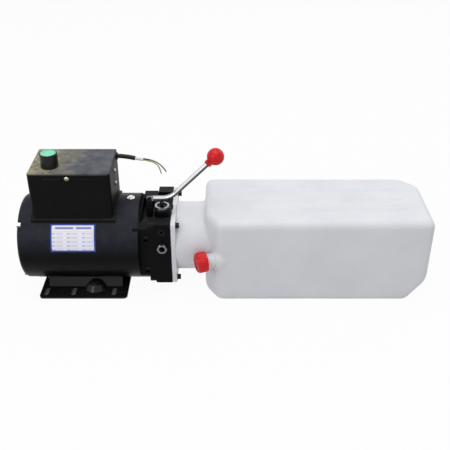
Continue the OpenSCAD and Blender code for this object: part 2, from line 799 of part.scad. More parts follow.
// ---- push button ----

module button_guard() {
    color(black) difference() {
        union() {
            bar_z(box_top, box_top + guard_h, guard_r, button_x, button_y);
            bar_z(neck_bottom, box_top + 1, 11, button_x, button_y);
        }
        bar_z(cup_floor, box_top + guard_h + 1, cup_r, button_x, button_y);
        bar_z(neck_bottom - 1, cup_floor + 1, 5 + running, button_x, button_y);
    }
}

module push_button() {
    color([0.35, 0.78, 0.58]) {
        bar_z(button_under, button_top - 0.8, button_r, button_x, button_y);
        translate([button_x, button_y, button_top - 0.8]) cylinder(h = 0.8, r1 = button_r, r2 = button_r - 0.8);
        bar_z(neck_bottom + button_stroke + pass_gap, button_under + 1, 5, button_x, button_y);
    }
}

module button_spring() {
    color(steel) translate([button_x, button_y, cup_floor]) coil(button_under - cup_floor, 8, 0.7, 4);
}

module contact_block() {
    color([0.75, 0.76, 0.78]) difference() {
        union() {
            span([button_x - 14, button_y - 14, neck_bottom - 26], [button_x + 14, button_y + 14, neck_bottom - 4]);
            bar_z(neck_bottom - 5, neck_bottom, 12, button_x, button_y);
        }
        bar_z(neck_bottom - 3, neck_bottom + 1, 6, button_x, button_y);
        for (s = [-1, 1]) bar_x(button_x - 15, button_x + 15, 2, button_y + 8 * s, neck_bottom - 18);
    }
}

// ---- adapter, coupling and manifold ----

module square_outline(r) {
    translate([0, block_z]) soft_rect(block_w, block_h, r);
}

module adapter_casting() {
    color(casting) difference() {
        union() {
            bar_x(shell_end - spigot_l, shell_end + 1, shell_r - slip);
            bar_x(front_seat, shell_end + 1, hub_r);
            intersection() {
                bar_x(shell_end, flange_x + 1, motor_r);
                along_x(shell_end, flange_x + 1) square_outline(12);
            }
            along_x(flange_x, block_x) square_outline(12);
            span([shell_end + 3.5, ear_y, block_top - 12], [block_x, block_w / 2 - 1, block_top + 1.5]);
        }
        bar_x(front_seat - 1, front_seat + bearing_w, seat_r + slip);
        bar_x(front_seat + bearing_w - 1, block_x + 1, journal_r + 3);
        bar_x(shell_end + 3, block_x + 1, 30);
        at_ties() bar_x(shell_end - spigot_l - 1, shell_end + 2, tie_r + slip, 0, 0);
        translate([0, 0, pocket_floor]) linear_extrude(height = 60) polygon([[shell_end + 3, -56], [flange_x - 2, -36],
            [block_x - 3, -36], [block_x - 3, 36], [shell_end + 3, 36]]);
        for (s = [-1, 1], t = [-1, 1]) {
            bar_x(flange_x - 8 - pass_gap, flange_x, 8, s * block_bolt_y, block_z + t * block_bolt_z);
            translate([0, s * (block_bolt_y + 10), block_z + t * block_bolt_z])
                span([flange_x - 8 - pass_gap, -10, -8], [flange_x, 10, 8]);
            bar_x(flange_x - 1, block_x + 1, 4 + slip, s * block_bolt_y, block_z + t * block_bolt_z);
        }
    }
}

module shaft_coupling() {
    color(steel) difference() {
        bar_x(shell_end + 4, block_x - 1, 15);
        bar_x(shell_end + 3, flange_x, journal_r);
        bar_x(flange_x - 1, block_x, pump_shaft_r);
    }
}

module shaft_seal() {
    color([0.12, 0.12, 0.13]) ring_x(block_x, block_x + 7, pump_shaft_r + 6, pump_shaft_r + running);
}

module manifold_block() {
    color(casting) difference() {
        union() {
            along_x(block_x, block_end) square_outline(3);
            span([block_x + 2.5, ear_y, block_top - 12], [block_end, block_w / 2, block_top + ear_h]);
            intersection() {
                bar_z(block_top - 5, boss_top, 17, valve_x, valve_y);
                span([block_x, -60, 0], [block_end, 60, boss_top + 9]);
            }
        }
        along_y(-block_w, block_w) polygon([[block_x - 1, block_z - block_h / 2 - 1], [block_x + 4, block_z - block_h / 2 - 1],
            [block_x - 1, block_z - block_h / 2 + 4]]);
        bar_x(block_x - 1, block_x + 7, pump_shaft_r + 6 + slip);
        bar_x(block_x, block_end + 1, pump_shaft_r + running);
        for (s = [-1, 1], t = [-1, 1])
            bar_x(block_x - 1, block_x + 14, 4 + slip, s * block_bolt_y, block_z + t * block_bolt_z);
        for (p = tank_bolts_yz) bar_x(block_end - 9.2, block_end + 1, tank_bolt_d / 2 + slip, p[0], p[1]);
        at_pump_bolts() bar_x(block_end - 12, block_end + 1, 3 + slip, 0, 0);
        // outlet port and its gallery to the pump
        bar_y(front_y - 1, front_y + 12.5, 8.2 + slip, port_x, axis_h + outlet_z);
        bar_y(front_y, -port_y + 3, 3, port_x, axis_h + outlet_z);
        bar_z(mesh_z, axis_h + outlet_z, 3, port_x, -port_y);
        bar_x(port_x, block_end + 1, 3, -port_y, mesh_z);
        // relief valve
        bar_y(front_y - 1, front_y + 9, plug_d / 2 + slip, port_x, axis_h + relief_z);
        bar_y(front_y, front_y + 26, 4.5, port_x, axis_h + relief_z);
        // release valve and return gallery
        bar_z(valve_floor, boss_top + 1, valve_r + slip, valve_x, valve_y);
        bar_z(valve_floor - 8, valve_floor + 1, stem_d / 2 + 0.5, valve_x, valve_y);
        bar_y(valve_y, return_y + 3, 3, valve_x, return_z);
        bar_x(valve_x, block_end - 10, 3, return_y, return_z);
        bar_x(block_end - 12, block_end + 1, return_d / 2 + slip, return_y, return_z);
    }
}

module block_bolts() {
    color([0.16, 0.16, 0.17]) for (s = [-1, 1], t = [-1, 1]) translate([0, s * block_bolt_y, block_z + t * block_bolt_z]) difference() {
        union() {
            bar_x(flange_x - 8, flange_x, 6.5, 0, 0);
            bar_x(flange_x - 1, block_x + 12, 4, 0, 0);
        }
        hex_x(flange_x - 9, flange_x - 4, 6, 0, 0);
    }
}

module outlet_adapter() {
    corner = outlet_af / 2 / cos(30);
    color(zinc) difference() {
        union() {
            intersection() {
                translate([port_x, front_y, axis_h + outlet_z]) rotate([90, 0, 0]) cylinder(h = outlet_l, r = corner, $fn = 6);
                translate([port_x, front_y, axis_h + outlet_z]) rotate([90, 0, 0])
                    cylinder(h = outlet_l, r1 = corner + outlet_l - 1, r2 = corner - 1);
            }
            bar_y(front_y - 1, front_y + 12, 8.2, port_x, axis_h + outlet_z);
        }
        bar_y(front_y - outlet_l - 1, front_y + 13, outlet_bore / 2, port_x, axis_h + outlet_z);
    }
}

module relief_plug() {
    color([0.30, 0.30, 0.31]) difference() {
        union() {
            bar_y(front_y - 1, front_y + 9, plug_d / 2, port_x, axis_h + relief_z);
        }
        translate([port_x, front_y - 2, axis_h + relief_z]) rotate([-90, 0, 0]) cylinder(h = 6, d = 5.8, $fn = 6);
    }
}

module relief_spring() {
    color(steel) translate([port_x, front_y + 19, axis_h + relief_z]) rotate([90, 0, 0]) coil(10, 3, 0.5, 5);
}

module relief_poppet() {
    color(steel) translate([port_x, front_y + 26, axis_h + relief_z]) rotate([90, 0, 0]) {
        cylinder(h = 4, r1 = 1.5, r2 = 4.2);
        translate([0, 0, 4]) cylinder(h = 3, r = 4.2);
    }
}

// ---- gear pump ----

module at_pump_bolts() {
    reach = pump_r - 6.5;
    for (p = [[-reach, mesh_z], [reach, mesh_z], [0, axis_h + reach], [0, driven_z - reach]]) translate([0, p[0], p[1]]) children();
}

module pump_outline() {
    translate([0, axis_h]) circle(r = pump_r);
    translate([0, driven_z]) circle(r = pump_r);
    translate([-pump_r, driven_z]) square([2 * pump_r, 2 * pitch_r]);
}

module pump_body() {
    color([0.70, 0.71, 0.73]) difference() {
        along_x(block_end, pump_end) pump_outline();
        for (z = [axis_h, driven_z]) bar_x(pocket_x, pump_end + 1, pocket_r, 0, z);
        bar_x(block_end - 1, pocket_x + 1, pump_shaft_r + running);
        bar_x(block_end + 1, pocket_x + 1, pump_shaft_r + running, 0, driven_z);
        bar_x(block_end - 1, pocket_x + 3, 3, -port_y, mesh_z);
        bar_x(pocket_x, pump_end + 1, 5, port_y, mesh_z);
        at_pump_bolts() bar_x(block_end - 1, pump_end + 1, 3 + slip, 0, 0);
    }
}

module pump_cover() {
    color([0.66, 0.67, 0.69]) difference() {
        along_x(pump_end, cover_end) pump_outline();
        bar_x(pump_end - 1, cover_end - 3, pump_shaft_r + running);
        bar_x(pump_end - 1, cover_end - 3, pump_shaft_r + running, 0, driven_z);
        bar_x(pump_end - 1, cover_end + 1, suction_d / 2 - 1.5, suction_y, mesh_z);
        bar_x(cover_end - 6, cover_end + 1, suction_d / 2 + slip, suction_y, mesh_z);
        at_pump_bolts() bar_x(pump_end - 1, cover_end + 1, 3 + slip, 0, 0);
    }
}

// Involute flank: the angle between the middle of a tooth and its flank at radius r.
function involute(r) = let (a = acos(min(1, base_circle / r))) tan(a) * 180 / PI - a;
function flank(r) = 90 / gear_teeth - backlash_a + involute(pitch_r) - involute(max(r, base_circle));

// Gear outline with its centre at the origin and one tooth at the angle turn.
module gear_outline(turn) {
    steps = 4;
    radii = concat([root_r - 1], [for (i = [0 : steps]) base_circle + (tip_r - base_circle) * i / steps]);
    n = len(radii);
    circle(r = root_r);
    for (i = [0 : gear_teeth - 1]) rotate(turn + 360 * i / gear_teeth) polygon(concat(
        [for (r = radii) r * [cos(flank(r)), -sin(flank(r))]],
        [for (k = [n - 1 : -1 : 0]) radii[k] * [cos(flank(radii[k])), sin(flank(radii[k]))]]));
}

module drive_gear() {
    color(steel) {
        along_x(pocket_x + running, pump_end - running) translate([0, axis_h]) gear_outline(90);
        bar_x(flange_x + 1, cover_end - 4, pump_shaft_r);
    }
}

module driven_gear() {
    color(steel) {
        along_x(pocket_x + running, pump_end - running) translate([0, driven_z]) gear_outline(90 + 180 / gear_teeth);
        bar_x(block_end + 1.5, cover_end - 4, pump_shaft_r, 0, driven_z);
    }
}

module pump_bolts() {
    color([0.20, 0.20, 0.21]) at_pump_bolts() difference() {
        union() {
            bar_x(block_end - 10, cover_end + 1, 3, 0, 0);
            bar_x(cover_end, cover_end + 6, 4.8, 0, 0);
        }
        hex_x(cover_end + 3, cover_end + 7, 4.6, 0, 0);
    }
}

// A quarter bend of a tube of radius r in a plane of constant Y, from +X to -Z, starting at x, z.
module bend_down(x, y, z, r, bend) {
    translate([x, y, z - bend]) rotate([90, 0, 0]) rotate_extrude(angle = 90) translate([bend, 0]) circle(r = r);
}

module suction_tube() {
    r = suction_d / 2;
    bend = 18;
    x = tank_x + 16;
    low = tank_z + 12 + filter_h - 4;
    color([0.82, 0.83, 0.84]) difference() {
        union() {
            bar_x(cover_end - 6, x, r, suction_y, mesh_z);
            bend_down(x, suction_y, mesh_z, r, bend);
            bar_z(low, mesh_z - bend, r, x + bend, suction_y);
        }
        bar_x(cover_end - 7, x, r - 1.5, suction_y, mesh_z);
        bend_down(x, suction_y, mesh_z, r - 1.5, bend);
        bar_z(low - 1, mesh_z - bend, r - 1.5, x + bend, suction_y);
    }
}

module suction_filter() {
    x = tank_x + 34;
    z = tank_z + 12;
    r = filter_d / 2;
    color([0.93, 0.93, 0.90]) difference() {
        union() {
            bar_z(z, z + 3, r, x, suction_y);
            bar_z(z + 3, z + filter_h - 3, r - 2, x, suction_y);
            bar_z(z + filter_h - 3, z + filter_h, r, x, suction_y);
            bar_z(z + filter_h, z + filter_h + 6, suction_d / 2 + 3, x, suction_y);
        }
        bar_z(z + filter_h - 4, z + filter_h + 7, suction_d / 2 + slip, x, suction_y);
        bar_z(z + 3, z + filter_h - 3, suction_d / 2 - 2, x, suction_y);
        for (a = [10 : 20 : 350]) translate([x, suction_y, z + 4]) rotate(a) translate([r - 3, -1.2, 0]) cube([6, 2.4, filter_h - 8]);
    }
}

module return_tube() {
    r = return_d / 2;
    bend = 16;
    x = tank_x + 70;
    color([0.82, 0.83, 0.84]) difference() {
        union() {
            bar_x(block_end - 12, x, r, return_y, return_z);
            bend_down(x, return_y, return_z, r, bend);
            bar_z(axis_h - 50, return_z - bend, r, x + bend, return_y);
        }
        bar_x(block_end - 13, x, r - 1.2, return_y, return_z);
        bend_down(x, return_y, return_z, r - 1.2, bend);
        bar_z(axis_h - 51, return_z - bend, r - 1.2, x + bend, return_y);
    }
}

// ---- release valve and lever ----

module valve_body() {
    color(zinc) difference() {
        union() {
            bar_z(valve_floor + 2, boss_top + 1, valve_r, valve_x, valve_y);
            bar_z(boss_top, collar_top, valve_d / 2, valve_x, valve_y);
        }
        bar_z(well_floor, collar_top + 1, well_d / 2, valve_x, valve_y);
        bar_z(valve_floor, well_floor - 4.4, 7.2, valve_x, valve_y);
        bar_z(well_floor - 5, well_floor + 1, stem_d / 2 + running, valve_x, valve_y);
    }
}

module valve_stem() {
    r = stem_d / 2;
    color(black) {
        bar_z(valve_floor + 2, stem_top - 2, r, valve_x, valve_y);
        translate([valve_x, valve_y, stem_top - 2]) cylinder(h = 2, r1 = r, r2 = r - 1.75);
        bar_z(ring_z, ring_z + 3, 7, valve_x, valve_y);
        bar_z(well_floor + 3.4, well_floor + 8, well_d / 2 - 3.4, valve_x, valve_y);
        for (a = [0 : 60 : 300]) translate([valve_x, valve_y, well_floor + 3.4]) rotate(a) translate([well_d / 2 - 3.2, 0, 0])
            cylinder(h = 4.6, r = 2.4);
    }
}

module valve_spring() {
    color(steel) translate([valve_x, valve_y, valve_floor]) coil(ring_z - valve_floor, stem_d / 2 + 1.7, 0.6, 7);
}

module lever_bracket() {
    wide = 5.5;
    neck_z = pivot_z - 13.5;
    color(black) difference() {
        union() {
            along_y(valve_y - 6, valve_y + 6) {
                polygon([[pivot_x - wide, pocket_floor], [pivot_x + wide, pocket_floor], [pivot_x + wide, neck_z],
                    [pivot_x + 4, pivot_z], [pivot_x - 4, pivot_z], [pivot_x - wide, neck_z]]);
                translate([pivot_x, pivot_z]) circle(r = 4);
            }
            span([shell_end + 6, valve_y - 9, pocket_floor], [block_x - 4, valve_y + 9, pocket_floor + 4]);
        }
        span([pivot_x - 12, valve_y - tab_t / 2 - 0.15, pivot_z - 9], [pivot_x + 12, valve_y + tab_t / 2 + 0.15, pivot_z + 9]);
        bar_y(valve_y - 7, valve_y + 7, pivot_r + slip, pivot_x, pivot_z);
    }
}

module lever_pin() {
    color(zinc) {
        bar_y(valve_y - 6, valve_y + 7.5, pivot_r, pivot_x, pivot_z);
        bar_y(valve_y - 7.2, valve_y - 6, pivot_r + 1.2, pivot_x, pivot_z);
    }
}

module release_lever() {
    r = lever_d / 2;
    collar_l = 6;
    tab_end = pivot_x + 10;
    color([0.85, 0.86, 0.88]) union() {
        difference() {
            along_y(valve_y - tab_t / 2, valve_y + tab_t / 2) {
                polygon([[pivot_x - 4.4, pivot_z], [pivot_x - 4.4, lever_z + r - 3.6], [pivot_x - 2.9, lever_z + r - 2.4],
                    [tab_end, lever_z + r - 0.2], [tab_end, lever_z - r], [pivot_x, pivot_z - 4.4]]);
                translate([pivot_x, pivot_z]) circle(r = 4.4);
            }
            bar_y(valve_y - 5, valve_y + 5, pivot_r + running, pivot_x, pivot_z);
        }
        bar_x(tab_end - 2, bend_x, r, valve_y, lever_z);
        translate([bend_x, valve_y, lever_z + lever_bend]) rotate([90, 0, 0]) rotate(-90) rotate_extrude(angle = 45)
            translate([lever_bend, 0]) circle(r = r);
        translate([bend_end_x, valve_y, bend_end_z]) rotate([0, 45, 0]) {
            cylinder(h = lever_slope - 2, r = r);
            translate([0, 0, lever_slope - knob_d / 2 - collar_l + 1.4]) cylinder(h = collar_l - 2, r = r + 2);
        }
    }
}

module lever_knob() {
    color(red) difference() {
        translate([knob_x, valve_y, knob_z]) sphere(d = knob_d);
        translate([bend_end_x, valve_y, bend_end_z]) rotate([0, 45, 0]) {
            cylinder(h = lever_slope - 2, r = lever_d / 2);
            cylinder(h = lever_slope - knob_d / 2 - 0.6, r = knob_d / 2);
        }
    }
}

// ---- oil tank ----

module tank_form(d) {
    plan = inset(tank_plan, d);
    side = inset(tank_side, d);
    intersection() {
        translate([0, 0, tank_z - 1]) linear_extrude(height = tank_h + 2) soft_polygon(plan, [for (r = tank_plan_r) r - d]);
        along_y(-tank_w / 2 - 1, tank_w / 2 + 1) soft_polygon(side, [for (r = tank_side_r) r - d]);
        along_x(tank_x - 1, tank_end + 1) soft_polygon(inset(tank_section, d), [for (r = tank_section_r) r - d]);
    }
}

module toward_filler() {
    translate([filler_x, filler_y, filler_z]) rotate([0, 0, filler_angle]) rotate([0, -90, 0]) children();
}

module oil_tank() {
    rib_from = tank_x + 86.5;
    rib_to = tank_end - 45;
    color(poly) difference() {
        union() {
            tank_form(0);
            bar_x(neck_x - 1, tank_x + 12, neck_d / 2);
            along_x(block_end, neck_x) square_outline(6);
            span([block_end, ear_y, block_top - 12], [neck_x, block_w / 2, block_top + ear_h]);
            toward_filler() translate([0, 0, -6]) cylinder(h = neck_out + 6, d = filler_neck_d);
            for (y = [-36, 2, 37]) {
                bar_x(rib_from, rib_to, 6, y, tank_top - 3.5);
                for (x = [rib_from, rib_to]) translate([x, y, tank_top - 3.5]) sphere(r = 6);
            }
        }
        tank_form(tank_wall);
        bar_x(block_end - 1, tank_x + 14, bore_r);
        toward_filler() translate([0, 0, -9]) cylinder(h = neck_out + 10, r = filler_neck_d / 2 - 3);
        ring_x(block_end - 1, block_end + 2.4, bore_r + 3.4, bore_r + 0.6);
        for (p = tank_bolts_yz) bar_x(block_end - 1, neck_x + 1, tank_bolt_d / 2 + slip, p[0], p[1]);
    }
}

module tank_oring() {
    color([0.08, 0.08, 0.09]) translate([block_end + 1.2, 0, axis_h]) rotate([0, 90, 0]) rotate_extrude()
        translate([bore_r + 2, 0]) circle(r = 1.2);
}

module tank_bolts() {
    color([0.12, 0.12, 0.13]) for (p = tank_bolts_yz) {
        bar_x(block_end - 8.5, neck_x + 2, tank_bolt_d / 2, p[0], p[1]);
        bar_x(neck_x, neck_x + 1, 0.95 * tank_bolt_d, p[0], p[1]);
        hex_x(neck_x + 1, neck_x + 6.5, 1.6 * tank_bolt_d, p[0], p[1]);
    }
}

module filler_cap() {
    r = cap_d / 2;
    color(red) toward_filler() translate([0, 0, filler_reach]) difference() {
        union() {
            cylinder(h = cap_h - 2, r = r);
            translate([0, 0, cap_h - 2]) cylinder(h = 2, r1 = r, r2 = r - 2);
        }
        translate([0, 0, -1]) cylinder(h = cap_h - 4 + pass_gap, r = filler_neck_d / 2 + running);
        for (i = [0 : cap_flutes - 1]) rotate(360 * i / cap_flutes) translate([r + 0.7, 0, -1]) cylinder(h = cap_h - 3, r = 1.4);
    }
}

motor_shell();
rear_end_bell();
motor_bearings();
stator_core();
stator_windings();
rotor_core();
motor_shaft();
cooling_fan();
through_bolts();
name_plate();
earth_screw();
foot_base();
box_gasket();
box_base();
box_cover();
equipment_bracket();
start_capacitor();
run_capacitor();
contactor();
terminal_block();
box_screws();
button_guard();
push_button();
button_spring();
contact_block();
cable_gland();
cable_jacket();
cable_filler();
core_earth();
core_live();
core_neutral();
adapter_casting();
shaft_coupling();
shaft_seal();
manifold_block();
block_bolts();
pump_body();
pump_cover();
drive_gear();
driven_gear();
pump_bolts();
suction_tube();
suction_filter();
return_tube();
outlet_adapter();
relief_plug();
relief_spring();
relief_poppet();
valve_body();
valve_stem();
valve_spring();
lever_bracket();
lever_pin();
release_lever();
lever_knob();
oil_tank();
tank_oring();
tank_bolts();
filler_cap();
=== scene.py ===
"""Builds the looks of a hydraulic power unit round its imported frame.

The frame's coordinates are used throughout: +X along the shaft from the motor to
the tank, +Y to the back, +Z up, from the centre of the foot. Sizes in the classes
are millimetres; meshes are metres.
"""

import json
import logging
import math
from collections.abc import Iterable, Sequence
from dataclasses import dataclass
from enum import Enum
from typing import Any

import bmesh
import bpy
from mathutils import Matrix, Vector


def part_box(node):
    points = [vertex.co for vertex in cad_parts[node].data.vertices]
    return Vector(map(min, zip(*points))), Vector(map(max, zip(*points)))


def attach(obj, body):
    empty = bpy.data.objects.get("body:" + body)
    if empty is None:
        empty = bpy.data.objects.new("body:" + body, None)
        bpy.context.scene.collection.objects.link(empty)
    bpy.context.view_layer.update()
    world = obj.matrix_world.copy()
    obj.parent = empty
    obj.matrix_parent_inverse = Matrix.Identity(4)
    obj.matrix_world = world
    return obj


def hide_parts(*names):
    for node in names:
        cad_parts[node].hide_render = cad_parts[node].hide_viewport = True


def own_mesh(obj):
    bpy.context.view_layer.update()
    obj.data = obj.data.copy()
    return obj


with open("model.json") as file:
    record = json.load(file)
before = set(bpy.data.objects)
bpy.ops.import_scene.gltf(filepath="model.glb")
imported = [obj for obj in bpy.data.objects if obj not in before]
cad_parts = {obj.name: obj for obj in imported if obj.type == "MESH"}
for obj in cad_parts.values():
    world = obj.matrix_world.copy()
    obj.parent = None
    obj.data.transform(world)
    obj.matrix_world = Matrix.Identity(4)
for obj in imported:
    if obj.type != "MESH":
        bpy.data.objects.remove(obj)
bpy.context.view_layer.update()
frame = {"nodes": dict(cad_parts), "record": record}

LOG = logging.getLogger("power_unit")
MM = 0.001
AXIS_Z = 90.0  # height of the shaft
SHELL_R = 80.0  # radius of the motor's shell
MERGE = 1e-6  # distance in metres within which two vertices are one
MIX_A, MIX_B, MIX_OUT = 6, 7, 2  # sockets of a colour Mix node
NOISE_DETAIL = 4.0
COAT_ROUGHNESS = 0.12
WHITE = "#ffffff"

Tree = bpy.types.NodeTree
Node = bpy.types.Node
Piece = bpy.types.Object
Point = tuple[float, float, float]
Profile = list[tuple[float, float]]
Layer = tuple[Any, str]


def linear(code: str) -> tuple[float, float, float, float]:
    """Turns an sRGB hex colour to linear values.

    Args:
        code: The colour, such as "#1a2b3c".

    Returns:
        Red, green and blue in linear light, and an alpha of one.
    """
    parts = [int(code[i : i + 2], 16) / 255 for i in (1, 3, 5)]
    red, green, blue = (c / 12.92 if c <= 0.04045 else ((c + 0.055) / 1.055) ** 2.4 for c in parts)
    return red, green, blue, 1.0


def add_node(tree: Tree, kind: str, sockets: dict[Any, Any] | None = None, **settings: Any) -> Node:
    """Adds one node with its settings, values and links.

    Args:
        tree: The node tree that gets the node.
        kind: Blender's name of the node, without ShaderNode.
        sockets: Input names or numbers, each with a value or an output to link.
        **settings: The node's own properties.

    Returns:
        The new node.
    """
    node = tree.nodes.new("ShaderNode" + kind)
    for name, value in settings.items():
        setattr(node, name, value)
    for key, value in (sockets or {}).items():
        if isinstance(value, bpy.types.NodeSocket):
            tree.links.new(value, node.inputs[key])
        else:
            node.inputs[key].default_value = value
    return node


def empty_tree(owner: bpy.types.Material | bpy.types.World) -> Tree:
    """Gives a material or the world an empty node tree and returns it."""
    owner.use_nodes = True
    owner.node_tree.nodes.clear()
    return owner.node_tree


def linked(name: str, data: bpy.types.ID | None) -> Piece:
    """Makes an object, puts it in the scene and returns it."""
    made = bpy.data.objects.new(name, data)
    bpy.context.scene.collection.objects.link(made)
    return made


class Brush(Enum):
    """The way a metal was ground or drawn, as how far its noise is squeezed on each axis."""

    NONE = (1.0, 1.0, 1.0)
    ALONG_X = (0.05, 1.0, 1.0)
    ALONG_Y = (1.0, 0.05, 1.0)


@dataclass(frozen=True)
class Finish:
    """A surface as it is made, with the numbers that its look starts from.

    Attributes:
        name: The real material and how its surface was made.
        colour: Main colour.
        second: Colour that the patches lean to.
        roughness: Roughness of the clean surface.
        metallic: One for bare metal.
        specular: Specular level; a metal keeps the default.
        patch: Size of the colour patches.
        patch_share: How far the patches go to the second colour.
        grain: Size of the surface's own grain.
        relief: Height of that grain.
        polished: How much glossier handling makes it in places.
        dulled: How much duller it gets in others.
    """

    name: str
    colour: str
    second: str
    roughness: float
    metallic: float = 0.0
    specular: float = 0.5
    patch: float = 30.0
    patch_share: float = 0.5
    grain: float = 1.5
    relief: float = 0.02
    polished: float = 0.06
    dulled: float = 0.1

    def material(self) -> bpy.types.Material:
        """Builds the material on first use and returns it."""
        made = bpy.data.materials.get(self.name)
        if made is not None:
            return made
        made = bpy.data.materials.new(self.name)
        tree = empty_tree(made)
        sockets = {
            "Base Color": self.tint(tree),
            "Metallic": self.metallic,
            "Roughness": self.gloss(tree),
            "Normal": self.bump(tree),
        }
        if not self.metallic:
            sockets["Specular IOR Level"] = self.specular
        shader = add_node(tree, "BsdfPrincipled", sockets)
        self.extra(shader)
        add_node(tree, "OutputMaterial", {"Surface": shader.outputs[0]})
        made.diffuse_color = linear(self.colour)
        return made

    def lay(self, tree: Tree) -> Any:
        """Returns the coordinates that the noise follows."""
        return add_node(tree, "TexCoord").outputs["Object"]

    def patches(self, tree: Tree, size: float) -> Any:
        """Adds soft noise with features of one size in millimetres and returns its output."""
        sockets = {"Vector": self.lay(tree), "Scale": 1 / (size * MM), "Detail": NOISE_DETAIL}
        return add_node(tree, "TexNoise", sockets).outputs[0]

    def rise(self, tree: Tree) -> Any:
        """Returns the height of the surface's normal, which is one where it faces up."""
        geometry = add_node(tree, "NewGeometry")
        return add_node(tree, "SeparateXYZ", {0: geometry.outputs["Normal"]}).outputs[2]

    def layers(self, tree: Tree) -> list[Layer]:
        """Returns what lies on the main colour, as shares and colours from the bottom up."""
        ramp = {0: self.patches(tree, self.patch), 1: 0.35, 2: 0.7, 4: self.patch_share}
        return [(add_node(tree, "MapRange", ramp).outputs[0], self.second)]

    def tint(self, tree: Tree) -> Any:
        """Lays the layers on the main colour and returns the colour output."""
        colour: Any = linear(self.colour)
        for share, code in self.layers(tree):
            sockets = {0: share, MIX_A: colour, MIX_B: linear(code)}
            colour = add_node(tree, "Mix", sockets, data_type="RGBA").outputs[MIX_OUT]
        return colour

    def gloss(self, tree: Tree) -> Any:
        """Varies the roughness a little, as handling does, and returns its output."""
        low, high = max(0.02, self.roughness - self.polished), self.roughness + self.dulled
        ramp = {0: self.patches(tree, self.patch * 0.6), 1: 0.3, 2: 0.75, 3: low, 4: high}
        return add_node(tree, "MapRange", ramp).outputs[0]

    def height(self, tree: Tree) -> Any:
        """Returns the height of the surface's fine relief."""
        return self.patches(tree, self.grain)

    def bump(self, tree: Tree) -> Any:
        """Gives the surface its fine relief and returns the normal output."""
        height, distance = self.height(tree), self.relief * MM
        sockets = {"Height": height, "Distance": distance, "Strength": 1.0}
        return add_node(tree, "Bump", sockets).outputs[0]

    def extra(self, shader: Node) -> None:
        """Sets what only some finishes have."""


@dataclass(frozen=True)
class Paint(Finish):
    """Sprayed paint with specks of dirt and a paler layer on what faces up, partly dust and partly
    painted sheen.

    Attributes:
        film: Colour of the layer on what faces up, dust and painted sheen.
        film_share: How strong that layer is on level faces.
        film_full: Height of the face's normal from which that layer is whole.
        film_patch: Size of its stronger places.
        speck: Colour of the specks.
        speck_share: How strong they are.
        speck_size: Their size.
    """

    film: str = "#4a4b50"
    film_share: float = 0.5
    film_full: float = 1.0
    film_patch: float = 18.0
    speck: str = "#77756c"
    speck_share: float = 0.25
    speck_size: float = 1.6

    def layers(self, tree: Tree) -> list[Layer]:
        """Adds the dust and painted sheen on what faces up, and the specks, to the patches."""
        # Dust and painted sheen: a paler colour on faces by how far they look up, in uneven
        # patches.
        ramps = (
            {0: self.rise(tree), 2: self.film_full, 4: self.film_share},
            {0: self.patches(tree, self.film_patch), 1: 0.3, 2: 0.7, 3: 0.65, 4: 1.2},
            {0: self.patches(tree, self.speck_size), 1: 0.68, 2: 0.76, 4: self.speck_share},
        )
        level, uneven, speck = (add_node(tree, "MapRange", ramp).outputs[0] for ramp in ramps)
        settings = {"operation": "MULTIPLY", "use_clamp": True}
        film = add_node(tree, "Math", {0: level, 1: uneven}, **settings).outputs[0]
        return [*super().layers(tree), (film, self.film), (speck, self.speck)]


@dataclass(frozen=True)
class DustyPaint(Paint):
    """Paint of the control box, with the pale workshop dust that lies round its button.

    Attributes:
        dust: Colour of the dust.
        edge_x: X where the dust has thinned out, in millimetres.
        fade: Length over which it thins out, in millimetres.
        ragged: How far its edge wanders, in millimetres.
        bay: Size of the bays in its edge.
        wiped: Size of the places where it is wiped thin.
    """

    dust: str = "#989276"
    edge_x: float = 8.0
    fade: float = 62.0
    ragged: float = 110.0
    bay: float = 24.0
    wiped: float = 11.0

    def layers(self, tree: Tree) -> list[Layer]:
        """Adds the dust on the left of the top."""
        spot = add_node(tree, "SeparateXYZ", {0: self.lay(tree)})
        noise = self.patches(tree, self.bay)
        sockets = {0: noise, 1: self.ragged * MM, 2: spot.outputs[0]}
        edge = add_node(tree, "Math", sockets, operation="MULTIPLY_ADD").outputs[0]
        thin = self.edge_x + self.ragged / 2
        share: Any = 1.0
        for ramp in (
            {0: edge, 1: thin * MM, 2: (thin - self.fade) * MM},
            {0: self.rise(tree), 1: 0.35, 2: 0.95},
            {0: self.patches(tree, self.wiped), 1: 0.34, 2: 0.6, 3: 0.3},
        ):
            sockets = {0: share, 1: add_node(tree, "MapRange", ramp).outputs[0]}
            share = add_node(tree, "Math", sockets, operation="MULTIPLY").outputs[0]
        return [*super().layers(tree), (share, self.dust)]


@dataclass(frozen=True)
class Metal(Finish):
    """Bare or plated metal, brushed one way or not at all."""

    metallic: float = 1.0
    brush: Brush = Brush.NONE

    def lay(self, tree: Tree) -> Any:
        """Returns coordinates that draw the noise out along the brushing."""
        sockets = {"Vector": super().lay(tree), "Scale": self.brush.value}
        return add_node(tree, "Mapping", sockets).outputs[0]


@dataclass(frozen=True)
class Plated(Metal):
    """Shiny plating with painted reflection: tints by the height of each face's normal, darker on
    faces that look sideways and down.

    Attributes:
        side: Painted reflection on upright faces, and on level ones where a third step is given.
        under: Painted dark reflection on faces that look down.
        steps: Height of the face's normal where each painted tint starts and where it is full.
    """

    side: str = "#808080"
    under: str = "#404040"
    steps: tuple[tuple[float, float], ...] = ((0.7, 0.15), (0.15, -0.45))

    def layers(self, tree: Tree) -> list[Layer]:
        """Adds the painted reflection, a tint by the height of each face's normal."""
        layers, rise = super().layers(tree), self.rise(tree)
        # Painted reflection: upright and downward faces get darker tints.
        for code, (bare, full) in zip((self.side, self.under, self.side), self.steps):
            ramp = {0: rise, 1: bare, 2: full}
            layers.append((add_node(tree, "MapRange", ramp).outputs[0], code))
        return layers


